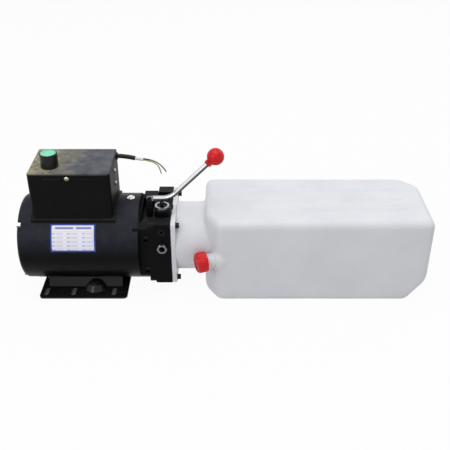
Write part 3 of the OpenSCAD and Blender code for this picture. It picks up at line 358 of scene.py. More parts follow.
@dataclass(frozen=True)
class Sheets(Metal):
    """Stacked electrical sheet, its edges in fine lines across the shaft.

    Attributes:
        sheet: Spacing of the drawn lines; the real half millimetre is too fine to show.
    """

    sheet: float = 2.0

    def height(self, tree: Tree) -> Any:
        """Returns the lines of the stack; the wave repeats each twentieth of a turn."""
        sockets = {"Vector": self.lay(tree), "Scale": math.tau / 20 / (self.sheet * MM)}
        settings = {"wave_type": "BANDS", "bands_direction": "X"}
        return add_node(tree, "TexWave", sockets, **settings).outputs[1]


@dataclass(frozen=True)
class Plastic(Finish):
    """Moulded plastic or rubber, which may let some light in.

    Attributes:
        depth: How far light travels inside, in red; none if zero.
        depth_share: Share of the light that goes in.
        depth_tint: Reach of red, green and blue light, as shares of the depth.
        coat: Gloss of the mould skin.
    """

    depth: float = 0.0
    depth_share: float = 0.0
    depth_tint: Point = (1.0, 0.92, 0.85)
    coat: float = 0.0

    def extra(self, shader: Node) -> None:
        """Sets the light inside the plastic and the gloss of its skin."""
        values = {"Coat Weight": self.coat, "Coat Roughness": COAT_ROUGHNESS}
        if self.depth_share:
            values["Subsurface Weight"] = self.depth_share
            values["Subsurface Scale"] = self.depth * MM
            values["Subsurface Radius"] = self.depth_tint
        for name, value in values.items():
            shader.inputs[name].default_value = value


@dataclass(frozen=True)
class Striped(Plastic):
    """Insulation with a lengthways stripe of a second colour.

    Attributes:
        stripe: Colour of the stripe.
        stripe_y: Y of the stripe's middle, in millimetres.
        stripe_w: Width of the stripe.
    """

    stripe: str = "#5a8a2c"
    stripe_y: float = 39.05
    stripe_w: float = 0.9

    def layers(self, tree: Tree) -> list[Layer]:
        """Adds the stripe."""
        spot = add_node(tree, "SeparateXYZ", {0: self.lay(tree)})
        sockets = {0: spot.outputs[1], 1: self.stripe_y * MM, 2: self.stripe_w / 2 * MM}
        inside = add_node(tree, "Math", sockets, operation="COMPARE").outputs[0]
        return [*super().layers(tree), (inside, self.stripe)]


@dataclass(frozen=True)
class Printed(Finish):
    """Printed foil of the rating plate: a border, a title band and blank ruled fields.

    Attributes:
        ink: Colour of the border.
        title: Colour of the title band.
        rule: Colour of the rules and of the narrow fields.
        field: Colour of the wide fields.
        rows: Number of ruled rows in the height of the plate.
        columns: Number of pairs of fields in a row.
    """

    ink: str = "#24409c"
    title: str = "#7480bd"
    rule: str = "#b0b8dc"
    field: str = "#cfd1e2"
    rows: float = 5 / 0.72
    columns: float = 3.0

    def layers(self, tree: Tree) -> list[Layer]:
        """Adds the print, drawn on the plate's own map."""
        place = add_node(tree, "TexCoord")
        spot = add_node(tree, "SeparateXYZ", {0: place.outputs["UV"]})
        across, up = spot.outputs[0], spot.outputs[1]
        cells = []
        for value, times in ((up, self.rows), (across, self.columns)):
            scaled = add_node(tree, "Math", {0: value, 1: times}, operation="MULTIPLY")
            sockets = {0: scaled.outputs[0]}
            cells.append(add_node(tree, "Math", sockets, operation="FRACT").outputs[0])
        row, column = cells
        below = (up, 0.40, 0.34)
        # What each mark lies within, as a value with its middle and half width.
        marks = [
            (((row, 0.55, 0.20), (column, 0.62, 0.22), below), self.field),
            (((row, 0.55, 0.16), (column, 0.22, 0.12), below), self.rule),
            (((row, 0.0, 0.05), below), self.rule),
            (((up, 0.845, 0.035), (across, 0.31, 0.20)), self.title),
            (((up, 0.845, 0.035), (across, 0.74, 0.17)), self.title),
        ]
        for value, half in ((across, 0.035), (up, 0.06)):
            marks += [(((value, end, half),), self.ink) for end in (0.0, 1.0)]
        layers = super().layers(tree)
        for bands, code in marks:
            share: Any = 1.0
            for value, middle, half in bands:
                sockets = {0: value, 1: middle, 2: half}
                inside = add_node(tree, "Math", sockets, operation="COMPARE")
                sockets = {0: share, 1: inside.outputs[0]}
                share = add_node(tree, "Math", sockets, operation="MULTIPLY").outputs[0]
            layers.append((share, code))
        return layers


class Surface(Enum):
    """Each finish, under the record's name for its material slot."""

    # Brushed alkyd enamel over rolled sheet: soft orange peel, and a blue-grey layer on what faces
    # up that is dust and painted sheen.
    motor_paint = Paint(
        "alkyd_enamel_on_rolled_steel", "#060607", "#0a0a0d", 0.34, specular=0.07, patch=45.0,
        grain=2.4, relief=0.03, film="#2f313b", film_share=0.66, film_full=0.45,
    )
    # Paint over a sand casting: a coarse skin that breaks up the light, and a grey layer on what
    # faces up that is dust and painted sheen.
    casting_black = Paint(
        "enamel_on_sand_casting", "#070707", "#0d0d0e", 0.42, specular=0.06, patch=22.0, grain=2.0,
        relief=0.12, film="#2c2d30", film_share=0.45,
    )
    # Thick gloss enamel on pressed sheet: clear highlights on the bends, and a grey layer on what
    # faces up that is dust and painted sheen.
    foot_black = Paint(
        "gloss_enamel_on_pressed_steel", "#09090a", "#0e0e11", 0.2, specular=0.25, grain=4.0,
        relief=0.03, film="#2a2b30", film_share=0.35,
    )
    # Powder coat on folded sheet: even satin, a grey layer on what faces up that is dust and
    # painted sheen, and workshop dust on the left of the top.
    box_black = DustyPaint(
        "powder_coat_on_folded_steel", "#09090a", "#0f0f11", 0.47, specular=0.07, patch=60.0,
        grain=1.2, relief=0.025, film="#5f6169", film_share=0.85,
    )
    # Bright zinc plate: pale grey and mottled, with painted reflection, darker on upright faces and
    # darkest on faces that look down.
    zinc = Plated(
        "bright_zinc_plate", "#bcbcb9", "#9a9b9b", 0.3, patch=4.0, grain=0.8, relief=0.01,
        side="#96979b", under="#4a4b50",
    )
    # Ground bar: fine lines along it.
    steel = Metal(
        "ground_steel_bar", "#bfc1c4", "#96989c", 0.28, patch=3.0, grain=0.7, relief=0.008,
        brush=Brush.ALONG_X,
    )
    # Heat-blackened screws: dark oil sheen.
    dark_steel = Metal(
        "black_oxide_steel", "#1c1c1f", "#2c2c30", 0.36, patch=3.0, grain=0.9, relief=0.01,
    )
    # Sheet stack: grey-blue edges in fine lines.
    lamination = Sheets(
        "stacked_electrical_sheet", "#6f7278", "#8b8d92", 0.42, patch=12.0, relief=0.15,
    )
    # Decorative chrome on a turned bar: a mirror with a trace of polishing, with painted
    # reflection: grey on upright and level faces, near black on faces that look down.
    chrome = Plated(
        "chromed_steel_bar", "#f2f2f3", "#e6e7ea", 0.09, patch=9.0, grain=2.0, relief=0.002,
        side="#85888f", under="#222226", steps=((0.34, 0.1), (0.06, -0.3), (0.6, 0.72)),
    )
    # Machined pump housing: fine milling lines.
    pump_aluminium = Metal(
        "machined_aluminium", "#c3c6ca", "#a4a8ae", 0.32, patch=6.0, grain=0.9, relief=0.012,
        brush=Brush.ALONG_Y,
    )
    # Printed foil: satin, cool white.
    plate = Printed(
        "printed_polyester_foil", "#e6e7f6", "#e9e3e4", 0.34, patch=16.0, patch_share=1.0,
        grain=1.0, relief=0.004,
    )
    # Varnished copper wire: warm, with the lay of the turns.
    winding = Metal(
        "varnished_copper_wire", "#b5662f", "#8a451d", 0.34, patch=3.0, grain=1.8, relief=0.25,
        brush=Brush.ALONG_X,
    )
    # Moulded nitrile: dull, slightly grey.
    rubber = Plastic(
        "moulded_nitrile_rubber", "#0f0f0f", "#181819", 0.62, specular=0.2, patch=8.0, grain=1.0,
        relief=0.03,
    )
    # Extruded rubber sheath: satin with faint lengthways drag.
    jacket = Plastic(
        "extruded_rubber_sheath", "#0d0d0e", "#161618", 0.44, specular=0.25, patch=6.0, grain=1.3,
        relief=0.05,
    )
    # Soft inner sheath: chalky white.
    cord_white = Plastic(
        "soft_filler_sheath", "#dedede", "#c9c9c6", 0.55, patch=5.0, grain=1.0, relief=0.04,
    )
    # Earth insulation: yellow with a green stripe.
    core_earth = Striped(
        "striped_pvc_insulation", "#b9b46a", "#a5a055", 0.40, patch=6.0, grain=1.0, relief=0.01,
    )
    # Live insulation: brown.
    core_live = Plastic(
        "brown_pvc_insulation", "#4c4233", "#3a3226", 0.38, patch=6.0, grain=1.0, relief=0.01,
    )
    # Neutral insulation: blue.
    core_neutral = Plastic(
        "blue_pvc_insulation", "#2d3a5c", "#222c48", 0.38, patch=6.0, grain=1.0, relief=0.01,
    )
    # Blow-moulded polyethylene: milky, waxy, faintly wavy, light travels inside the wall.
    tank_white = Plastic(
        "blow_moulded_polyethylene", "#d8dade", "#d0d2d8", 0.36, specular=0.3, patch=70.0,
        patch_share=0.8, grain=26.0, relief=0.5, depth=9.0, depth_share=0.3,
    )
    # Injection-moulded cap and ball: bright glossy red.
    red_plastic = Plastic(
        "injection_moulded_red_plastic", "#cc0d16", "#bd0912", 0.26, specular=0.22, patch=12.0,
        grain=3.0, relief=0.012, depth=1.0, depth_share=0.05, coat=0.05,
    )
    # Button cap: satin green that lets a little light in.
    green_plastic = Plastic(
        "moulded_green_polycarbonate", "#74cfa9", "#82dab8", 0.32, patch=9.0, relief=0.01,
        depth=2.0, depth_share=0.2,
    )
    # Guard, fan and stem: black moulding with a soft sheen.
    black_plastic = Plastic(
        "moulded_black_nylon", "#0b0b0c", "#121214", 0.32, specular=0.25, patch=14.0, grain=1.6,
        relief=0.015, coat=0.03,
    )
    # Contactor and contact block: light grey moulding.
    grey_plastic = Plastic("moulded_grey_nylon", "#8d9096", "#7e8188", 0.44, patch=14.0, grain=1.2)
    # Terminal strip: cream moulding.
    cream_plastic = Plastic(
        "moulded_cream_nylon", "#d8d2bd", "#cbc4ad", 0.45, patch=12.0, grain=1.2,
    )
    # Filter medium: pleated felt.
    filter_white = Plastic(
        "pleated_filter_felt", "#e0e0d8", "#cfcfc4", 0.8, patch=5.0, grain=0.9, relief=0.12,
    )


# Bare strands at the cut ends of the cores.
STRANDS = Metal("bare_copper_strands", "#c98a5a", "#a8683c", 0.3, patch=1.5, grain=0.6, relief=0.01)
# Mild steel bead under the same enamel as the foot, with the same layer of dust and painted sheen
# on what faces up.
BEAD = Paint(
    "enamel_on_weld_bead", "#0b0b0c", "#151517", 0.28, specular=0.2, patch=6.0, grain=1.4,
    relief=0.12, film="#2c2d31", film_share=0.4,
)


# New plate on the earth screw, warm passivated plate on the box screws, a slightly darker plate on
# the outlet; the box screws and the outlet have painted reflection, darker on upright faces and
# darkest on faces that look down.
OWN: dict[str, Finish] = {
    "earth_screw": Metal(
        "new_zinc_plate", "#f4f4f2", "#dddcd8", 0.34, patch=3.0, grain=0.8, relief=0.01,
    ),
    "box_screws": Plated(
        "passivated_zinc_plate", "#d8d3c4", "#bdb8a8", 0.36, patch=3.0, grain=0.8, relief=0.01,
        side="#a8a394", under="#55524a",
    ),
    "outlet_adapter": Plated(
        "outlet_zinc_plate_painted_reflection", "#b3b3b2", "#8f8f90", 0.28, patch=4.0, grain=0.8, relief=0.01,
        side="#85868a", under="#3c3d42",
    ),
}


class Shape:
    """A mesh in the making, with the few steps that the pieces share."""

    def __init__(self) -> None:
        """Starts an empty mesh."""
        self.bm = bmesh.new()

    def lathe(
        self, profile: Profile, place: Matrix, steps: int = 72, closed: bool = False
    ) -> None:
        """Spins a profile about its own Z.

        Args:
            profile: Radius and height of each corner, in millimetres.
            place: Where the spun piece goes, in metres.
            steps: Number of facets round the turn.
            closed: True for a ring, whose profile returns to its start.
        """
        before = set(self.bm.verts)
        line = [self.bm.verts.new((r * MM, 0.0, z * MM)) for r, z in profile]
        pairs = list(zip(line, line[1:])) + ([(line[-1], line[0])] if closed else [])
        edges = [self.bm.edges.new(pair) for pair in pairs]
        bmesh.ops.spin(
            self.bm, geom=line + edges, cent=(0, 0, 0), axis=(0, 0, 1), dvec=(0, 0, 0),
            angle=math.tau, steps=steps, use_merge=True,
        )
        made = [v for v in self.bm.verts if v not in before]
        bmesh.ops.remove_doubles(self.bm, verts=made, dist=MERGE)
        made = [v for v in self.bm.verts if v not in before]
        faces = {f for v in made for f in v.link_faces}
        bmesh.ops.recalc_face_normals(self.bm, faces=list(faces))
        bmesh.ops.transform(self.bm, matrix=place, verts=made)

    def bevel(self, edges: Iterable[bmesh.types.BMEdge], width: float, segments: int) -> None:
        """Rounds edges by a width in millimetres."""
        bmesh.ops.bevel(
            self.bm, geom=list(edges), offset=width * MM, segments=segments, profile=0.5,
            affect="EDGES", material=-1,
        )

    def block(self, low: Point, high: Point, round_r: float = 0.0) -> None:
        """Adds a box between two corners, with its edges rounded."""
        middle = (Vector(low) + Vector(high)) / 2 * MM
        size = Matrix.Diagonal([*((Vector(high) - Vector(low)) * MM), 1.0])
        place = Matrix.Translation(middle) @ size
        made = bmesh.ops.create_cube(self.bm, size=1.0, matrix=place)["verts"]
        if round_r:
            self.bevel({e for v in made for e in v.link_edges}, round_r, 3)

    def bar(self, start: Point, end: Point, radius: float, steps: int) -> None:
        """Adds a capped round bar between two points."""
        a, b = Vector(start), Vector(end)
        bmesh.ops.create_cone(
            self.bm, cap_ends=True, segments=steps, radius1=radius * MM, radius2=radius * MM,
            depth=(b - a).length * MM, matrix=facing((a + b) / 2, b - a),
        )

    def piece(
        self, name: str, surface: Surface, node: str = "", body: str = "unit",
        sharp: float = 38.0, own: Finish | None = None,
    ) -> Piece:
        """Turns the mesh to an object that rides on a body.

        Args:
            name: The piece's name.
            surface: Its finish, named for the record's material slot.
            node: The CAD node that it stands for, if any.
            body: The CAD body that it moves with.
            sharp: Angle in degrees past which an edge shows.
            own: A finish that it has instead of the slot's.

        Returns:
            The new object.
        """
        mesh = bpy.data.meshes.new(name)
        self.bm.to_mesh(mesh)
        self.bm.free()
        mesh.shade_smooth()
        mesh.set_sharp_from_angle(angle=math.radians(sharp))
        mesh.materials.append((own or surface.value).material())
        piece = linked(name, mesh)
        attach(piece, body)
        if node:
            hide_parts(node)
        return piece


def apply_modifiers(piece: Piece) -> None:
    """Applies a piece's modifiers to its mesh."""
    graph = bpy.context.evaluated_depsgraph_get()
    mesh = bpy.data.meshes.new_from_object(piece.evaluated_get(graph))
    piece.modifiers.clear()
    old, piece.data = piece.data, mesh
    mesh.name = piece.name
    bpy.data.meshes.remove(old)


def facing(origin: Sequence[float], direction: Sequence[float]) -> Matrix:
    """Returns the place whose Z looks along a direction, from an origin in millimetres."""
    turn = Vector(direction).to_track_quat("Z", "Y").to_matrix().to_4x4()
    return Matrix.Translation(Vector(origin) * MM) @ turn


def arc(x: float, y: float, radius: float, start: float, end: float, steps: int) -> Profile:
    """Returns the points of an arc about a point of a profile, with its angles in degrees."""
    angles = [math.radians(start + (end - start) * i / steps) for i in range(steps + 1)]
    return [(x + radius * math.cos(a), y + radius * math.sin(a)) for a in angles]


@dataclass
class Camera:
    """The view of the unit from the front and above.

    Attributes:
        place: Where the camera stands, in metres.
        tilt: Its tilt from straight down, in degrees.
        lens: Focal length for a sensor 36 mm wide.
        shift: Lens shift upwards.
    """

    place: Point = (0.2657, -1.1564, 0.813)
    tilt: float = 58.62
    lens: float = 57.2
    shift: float = 0.0038

    def build(self) -> None:
        """Makes the camera and gives it to the scene."""
        data = bpy.data.cameras.new("camera")
        data.lens, data.shift_y = self.lens, self.shift
        camera = linked("camera", data)
        camera.location = self.place
        camera.rotation_euler = (math.radians(self.tilt), 0.0, 0.0)
        bpy.context.scene.camera = camera


@dataclass
class Studio:
    """Pale floor, soft lamps and a white surround, with its sizes in metres.

    Attributes:
        floor_side: Side of the floor.
        floor_middle: Middle of the floor, a hair under the foot.
        surround: Strength of the light from all sides.
        paper: Colour of the floor.
        shade: Painted shade, a darker colour of the floor under the foot plate, where no light from
            the sides gets.
        floor_white: Share of plain white in the floor, so that its shadow stays faint.
        foot_half: Half side of the foot plate; the floor under it keeps its full shadow and has the
            painted shade colour.
        foot_fade: Width over which the floor goes from one to the other.
        aim: Point that the lamps look at.
        lamps: Name, place, size and power in watts of each large soft lamp.
    """

    floor_side: float = 14.0
    floor_middle: Point = (0.26, 0.0, -0.0004)
    surround: float = 0.52
    paper: str = "#dedede"
    shade: str = "#6c6c6c"
    floor_white: float = 0.95
    foot_half: float = 0.0815
    foot_fade: float = 0.004
    aim: Point = (0.25, 0.0, 0.1)
    lamps: tuple[tuple[str, Point, tuple[float, float], float], ...] = (
        ("overhead", (0.1, -0.2, 2.2), (2.4, 1.8), 26.0),
        ("front_left", (-1.3, -1.9, 1.5), (1.2, 1.2), 14.0),
        ("back_right", (1.6, 1.4, 1.6), (1.2, 1.2), 8.0),
    )

    def seen(self, tree: Tree) -> Any:
        """Returns one for what the camera, gloss or glass sees, and zero for other light."""
        ray = add_node(tree, "LightPath")
        share = ray.outputs["Is Camera Ray"]
        for name in ("Is Glossy Ray", "Is Transmission Ray"):
            sockets = {0: share, 1: ray.outputs[name]}
            share = add_node(tree, "Math", sockets, operation="MAXIMUM").outputs[0]
        return share

    def bare(self, tree: Tree) -> Any:
        """Returns the share of plain white in the floor, which is none under the foot plate."""
        place = add_node(tree, "TexCoord")
        spot = add_node(tree, "SeparateXYZ", {0: place.outputs["Object"]})
        away: Any = 0.0
        for side in spot.outputs[:2]:
            distance = add_node(tree, "Math", {0: side}, operation="ABSOLUTE").outputs[0]
            sockets = {0: away, 1: distance}
            away = add_node(tree, "Math", sockets, operation="MAXIMUM").outputs[0]
        ramp = {0: away, 1: self.foot_half - self.foot_fade, 2: self.foot_half, 4: self.floor_white}
        return add_node(tree, "MapRange", ramp).outputs[0]

    def light(self) -> None:
        """Makes the surround, which looks white and lights softly, and the lamps."""
        world = bpy.data.worlds.new("surround")
        bpy.context.scene.world = world
        tree = empty_tree(world)
        plain, white = (
            add_node(tree, "Background", {"Color": linear(WHITE), "Strength": strength})
            for strength in (self.surround, 1.0)
        )
        sockets = {0: self.seen(tree), 1: plain.outputs[0], 2: white.outputs[0]}
        mix = add_node(tree, "MixShader", sockets)
        add_node(tree, "OutputWorld", {0: mix.outputs[0]})
        for name, place, size, power in self.lamps:
            data = bpy.data.lights.new(name, "AREA")
            data.shape, data.energy = "RECTANGLE", power
            data.size, data.size_y = size
            lamp = linked(name, data)
            lamp.location = place
            aim = Vector(self.aim) - Vector(place)
            lamp.rotation_euler = aim.to_track_quat("-Z", "Y").to_euler()

    def floor(self) -> None:
        """Makes the floor of matt paper, which looks white and keeps a faint shadow, with painted
        shade under the foot plate.
        """
        made = bpy.data.materials.new("backdrop_paper")
        tree = empty_tree(made)
        bare = self.bare(tree)
        # Painted shade: the floor's colour is darker under the foot plate.
        sockets = {0: bare, MIX_A: linear(self.shade), MIX_B: linear(self.paper)}
        colour = add_node(tree, "Mix", sockets, data_type="RGBA").outputs[MIX_OUT]
        matt = add_node(tree, "BsdfDiffuse", {"Color": colour})
        white = add_node(tree, "Emission", {"Color": linear(WHITE), "Strength": 1.0})
        sockets = {0: self.seen(tree), 1: bare}
        share = add_node(tree, "Math", sockets, operation="MULTIPLY")
        sockets = {0: share.outputs[0], 1: matt.outputs[0], 2: white.outputs[0]}
        mix = add_node(tree, "MixShader", sockets)
        add_node(tree, "OutputMaterial", {0: mix.outputs[0]})

        shape = bmesh.new()
        bmesh.ops.create_grid(
            shape, x_segments=1, y_segments=1, size=self.floor_side / 2,
            matrix=Matrix.Translation(self.floor_middle),
        )
        mesh = bpy.data.meshes.new("floor")
        shape.to_mesh(mesh)
        shape.free()
        mesh.materials.append(made)
        linked("floor", mesh)

    def build(self) -> None:
        """Makes the floor, the surround and the lamps."""
        self.floor()
        self.light()


@dataclass
class SupplyCable:
    """The cut end of the supply cable: rubber sheath, white inner sheath and three cores.

    Attributes:
        sheath: Centreline of the rubber sheath, as in the CAD source.
        inner: Both ends of the white inner sheath.
        cores: Centreline of each core.
        sheath_d: Diameter of the rubber sheath.
        inner_d: Diameter of the inner sheath.
        inner_round: Rounding of its cut ends.
        core_d: Diameter of a core.
        gland_x: X where the sheath leaves its grommet; not used.
        strand_r: Radius of a bare strand.
        strand_l: Length of the longest strand.
        strand_pitch: Distance of the outer strands from the middle one.
        strand_spread: How far every other strand leans out, as a share of the pitch.
    """

    sheath: tuple[Point, ...] = (
        (40, 41, 236), (55, 41, 236), (70, 41, 236), (85, 41, 234.4), (99, 41, 231.5),
    )
    inner: tuple[Point, Point] = ((97, 41, 231.9), (114, 41, 229))
    cores: tuple[tuple[str, tuple[Point, ...]], ...] = (
        ("core_earth", (
            (112, 39.7, 228.9), (120, 39.5, 227.5), (126, 39.5, 226), (132, 39.5, 223.8),
            (137, 39.5, 220.8), (141, 39.5, 216.5), (143.5, 39.5, 211), (145, 39.5, 206),
            (146, 39.5, 201.4),
        )),
        ("core_live", (
            (112, 42, 230.5), (120, 42, 229.2), (126, 42, 227.8), (132, 42, 225.7),
            (138, 42, 222.7), (143.5, 42, 218.7), (148.5, 42, 213.7), (152, 42, 209),
            (155, 42, 204),
        )),
        ("core_neutral", (
            (112, 42.2, 228.2), (120, 43.4, 227.2), (126, 44, 226.4), (132, 44, 224.4),
            (138, 44, 221.5), (143.5, 44, 217.5), (148, 44, 212.7), (151.5, 44, 208),
            (154, 44, 204),
        )),
    )
    sheath_d: float = 8.4
    inner_d: float = 6.2
    inner_round: float = 0.5
    core_d: float = 2.2
    gland_x: float = 67.0
    strand_r: float = 0.24
    strand_l: float = 2.4
    strand_pitch: float = 0.5
    strand_spread: tuple[float, float] = (1.1, 1.25)

    def line(self, name: str, points: Sequence[Point], diameter: float, surface: Surface) -> Piece:
        """Makes a cord along its points and returns the curve."""
        data = bpy.data.curves.new(name, "CURVE")
        data.dimensions, data.bevel_depth, data.bevel_resolution = "3D", diameter / 2 * MM, 5
        data.use_fill_caps, data.resolution_u = True, 10
        spline = data.splines.new("BEZIER")
        spline.bezier_points.add(len(points) - 1)
        for knot, point in zip(spline.bezier_points, points):
            knot.co = Vector(point) * MM
            knot.handle_left_type = knot.handle_right_type = "AUTO"
        data.materials.append(surface.value.material())
        cord = linked(name, data)
        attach(cord, "unit")
        return cord

    def length(self, points: Sequence[Point]) -> float:
        """Returns the length along the points, in metres."""
        return sum((Vector(b) - Vector(a)).length for a, b in zip(points, points[1:])) * MM

    def strands(self, name: str, points: Sequence[Point]) -> Piece:
        """Makes the bare wire ends that stand out of a core, six round one, and returns them."""
        shape = Shape()
        end = Vector(points[-1])
        along = (end - Vector(points[-2])).normalized()
        side = along.cross(Vector((0, 1, 0))).normalized() * self.strand_pitch
        for i in range(7):
            offset = Matrix.Rotation(math.tau * i / 6, 3, along) @ side if i < 6 else Vector()
            tip = along * (self.strand_l - 0.3 * (i % 3)) + offset * self.strand_spread[i % 2]
            shape.bar(end - along + offset, end + tip, self.strand_r, 8)
        return shape.piece(name, Surface.winding, own=STRANDS)

    def build(self) -> list[Piece]:
        """Makes the cable and its cords."""
        shape = Shape()
        shape.bar(*self.inner, self.inner_d / 2, 40)
        rim = [e for e in shape.bm.edges if e.calc_face_angle(0) > 1.0]
        shape.bevel(rim, self.inner_round, 2)
        inner = shape.piece("inner_sheath", Surface.cord_white, "cable_filler")
        sheath = self.line("rubber_sheath", self.sheath, self.sheath_d, Surface.jacket)
        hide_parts("cable_jacket")
        made = [inner, sheath]
        for node, points in self.cores:
            wires = self.strands(node + "_strands", points)
            core = self.line(node + "_lead", points, self.core_d, Surface[node])
            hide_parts(node)
            made += [wires, core]
        return made


@dataclass
class OilTank:
    """The blow-moulded tank: body with cut corners, neck, square flange, ribs and filler neck.

    Attributes:
        body: Lowest and highest corner of the body.
        cuts: A point and an outward direction of each cut corner.
        round_r: Rounding of the body's edges.
        foot_r: Rounding of the edges round its underside.
        flange: Outline of the flange as Y and Z, with the raised lug at its back.
        flange_x: Both faces of the flange.
        flange_corner: Rounding of the outline's corners.
        flange_round: Rounding of the flange's rims.
        neck_r: Radius of the neck.
        neck_sink: How far the neck runs into the body and, less, into the flange.
        rib_y: Y of each rib on the top.
        rib_x: Both ends of the ribs.
        rib_half: Half width of a rib.
        rib_rise: How far a rib stands over the top, and how deep it starts.
        rib_round: Rounding of a rib.
        cell: Size of the cells in which the moulding's skin is made.
        soft_steps: Number of times that the skin is smoothed.
        filler: Start of the filler neck's axis.
        filler_axis: Its direction, 20 degrees to the front.
        thread_pitch: Distance between two turns of the filler neck's thread.
        thread_depth: Its depth.
    """

    body: tuple[Point, Point] = ((228.7, -88.6, 0.5), (637.7, 88.6, 168.0))
    cuts: tuple[tuple[Point, Point], ...] = (
        ((228.7, -47.0, 80.0), (-0.866, -0.5, 0.0)),
        ((637.7, 56.6, 80.0), (1.0, 1.0, 0.0)),
        ((605.7, 0.0, 0.5), (42.0, 0.0, -32.0)),
    )
    round_r: float = 14.0
    foot_r: float = 8.0
    flange: tuple[tuple[float, float], ...] = (
        (-62.5, 21.5), (62.5, 21.5), (62.5, 160.5), (40.0, 160.5), (40.0, 150.5), (-62.5, 150.5),
    )
    flange_x: tuple[float, float] = (167.0, 176.0)
    flange_corner: float = 5.0
    flange_round: float = 1.6
    neck_r: float = 64.0
    neck_sink: tuple[float, float] = (14.0, 1.0)
    rib_y: tuple[float, ...] = (-36.0, 2.0, 37.0)
    rib_x: tuple[float, float] = (315.2, 592.7)
    rib_half: float = 5.0
    rib_rise: tuple[float, float] = (3.4, 4.0)
    rib_round: float = 2.0
    cell: float = 2.5
    soft_steps: int = 5
    filler: Point = (248.86, -76.54, 84.7)
    filler_axis: Point = (-math.cos(math.radians(20)), -math.sin(math.radians(20)), 0.0)
    thread_pitch: float = 3.0
    thread_depth: float = 0.5

    def slab(self) -> Piece:
        """Makes the flange from its outline and returns it."""
        shape = Shape()
        bm, (left, right) = shape.bm, self.flange_x
        face = bm.faces.new([bm.verts.new(Vector((left, y, z)) * MM) for y, z in self.flange])
        made = bmesh.ops.extrude_face_region(bm, geom=[face])["geom"]
        moved = [v for v in made if isinstance(v, bmesh.types.BMVert)]
        bmesh.ops.translate(bm, verts=moved, vec=((right - left) * MM, 0, 0))
        bmesh.ops.recalc_face_normals(bm, faces=bm.faces[:])
        along = [e for e in bm.edges if abs(e.verts[0].co.x - e.verts[1].co.x) > MM]
        shape.bevel(along, self.flange_corner, 6)
        rims = [e for e in bm.edges if abs(e.calc_face_angle(0)) > 1.4]
        shape.bevel(rims, self.flange_round, 4)
        return shape.piece("tank_flange", Surface.tank_white)

    def skin(self, boss: Matrix) -> Piece:
        """Makes the body, neck, ribs and filler boss as one moulding and returns it."""
        (front, _, floor), (_, _, top) = self.body
        shape = Shape()
        shape.block(*self.body)
        bm = shape.bm
        for point, outward in self.cuts:
            cut = bmesh.ops.bisect_plane(
                bm, geom=bm.verts[:] + bm.edges[:] + bm.faces[:], plane_co=Vector(point) * MM,
                plane_no=outward, clear_outer=True,
            )["geom_cut"]
            rim = [e for e in cut if isinstance(e, bmesh.types.BMEdge)]
            bmesh.ops.holes_fill(bm, edges=rim, sides=0)
        weight = bm.edges.layers.float.new("bevel_weight_edge")
        for edge in bm.edges:
            low = all(v.co.z < (floor + 0.1) * MM for v in edge.verts)
            edge[weight] = self.foot_r / self.round_r if low else 1.0
        into_body, into_flange = self.neck_sink
        start = (self.flange_x[1] - into_flange, 0, AXIS_Z)
        shape.bar(start, (front + into_body, 0, AXIS_Z), self.neck_r, 96)
        (left, right), (rise, sink) = self.rib_x, self.rib_rise
        for y in self.rib_y:
            low = (left, y - self.rib_half, top - sink)
            shape.block(low, (right, y + self.rib_half, top + rise), self.rib_round)
        profile = [(0, -12), (19, -12), (17.5, -1), (15.2, 2.0), (14.2, 5.0), (0, 5.0)]
        shape.lathe(profile, boss, 64)
        skin = shape.piece("tank_skin", Surface.tank_white, "oil_tank")
        rounding = skin.modifiers.new("rounding", "BEVEL")
        rounding.limit_method, rounding.segments = "WEIGHT", 6
        rounding.width = self.round_r * MM
        cells = skin.modifiers.new("cells", "REMESH")
        cells.mode, cells.voxel_size = "VOXEL", self.cell * MM
        soften = skin.modifiers.new("soften", "SMOOTH")
        soften.factor, soften.iterations = 0.5, self.soft_steps
        apply_modifiers(skin)
        skin.data.shade_smooth()
        return skin

    def build(self) -> list[Piece]:
        """Makes the tank and returns its pieces."""
        boss = facing(self.filler, self.filler_axis)
        skin = self.skin(boss)
        depth, half = self.thread_depth, self.thread_pitch / 2
        profile = [
            (10.5, -3), (13.0, -3), (13.0, 13),
            *((13.0 + depth * (i % 2), 14.0 + half * i) for i in range(12)),
            (13.2, 31.5), (12.6, 32), (11.0, 32), (10.5, 31.5),
        ]
        shape = Shape()
        shape.lathe(profile, boss, closed=True)
        neck = shape.piece("filler_neck", Surface.tank_white)
        return [skin, self.slab(), neck]


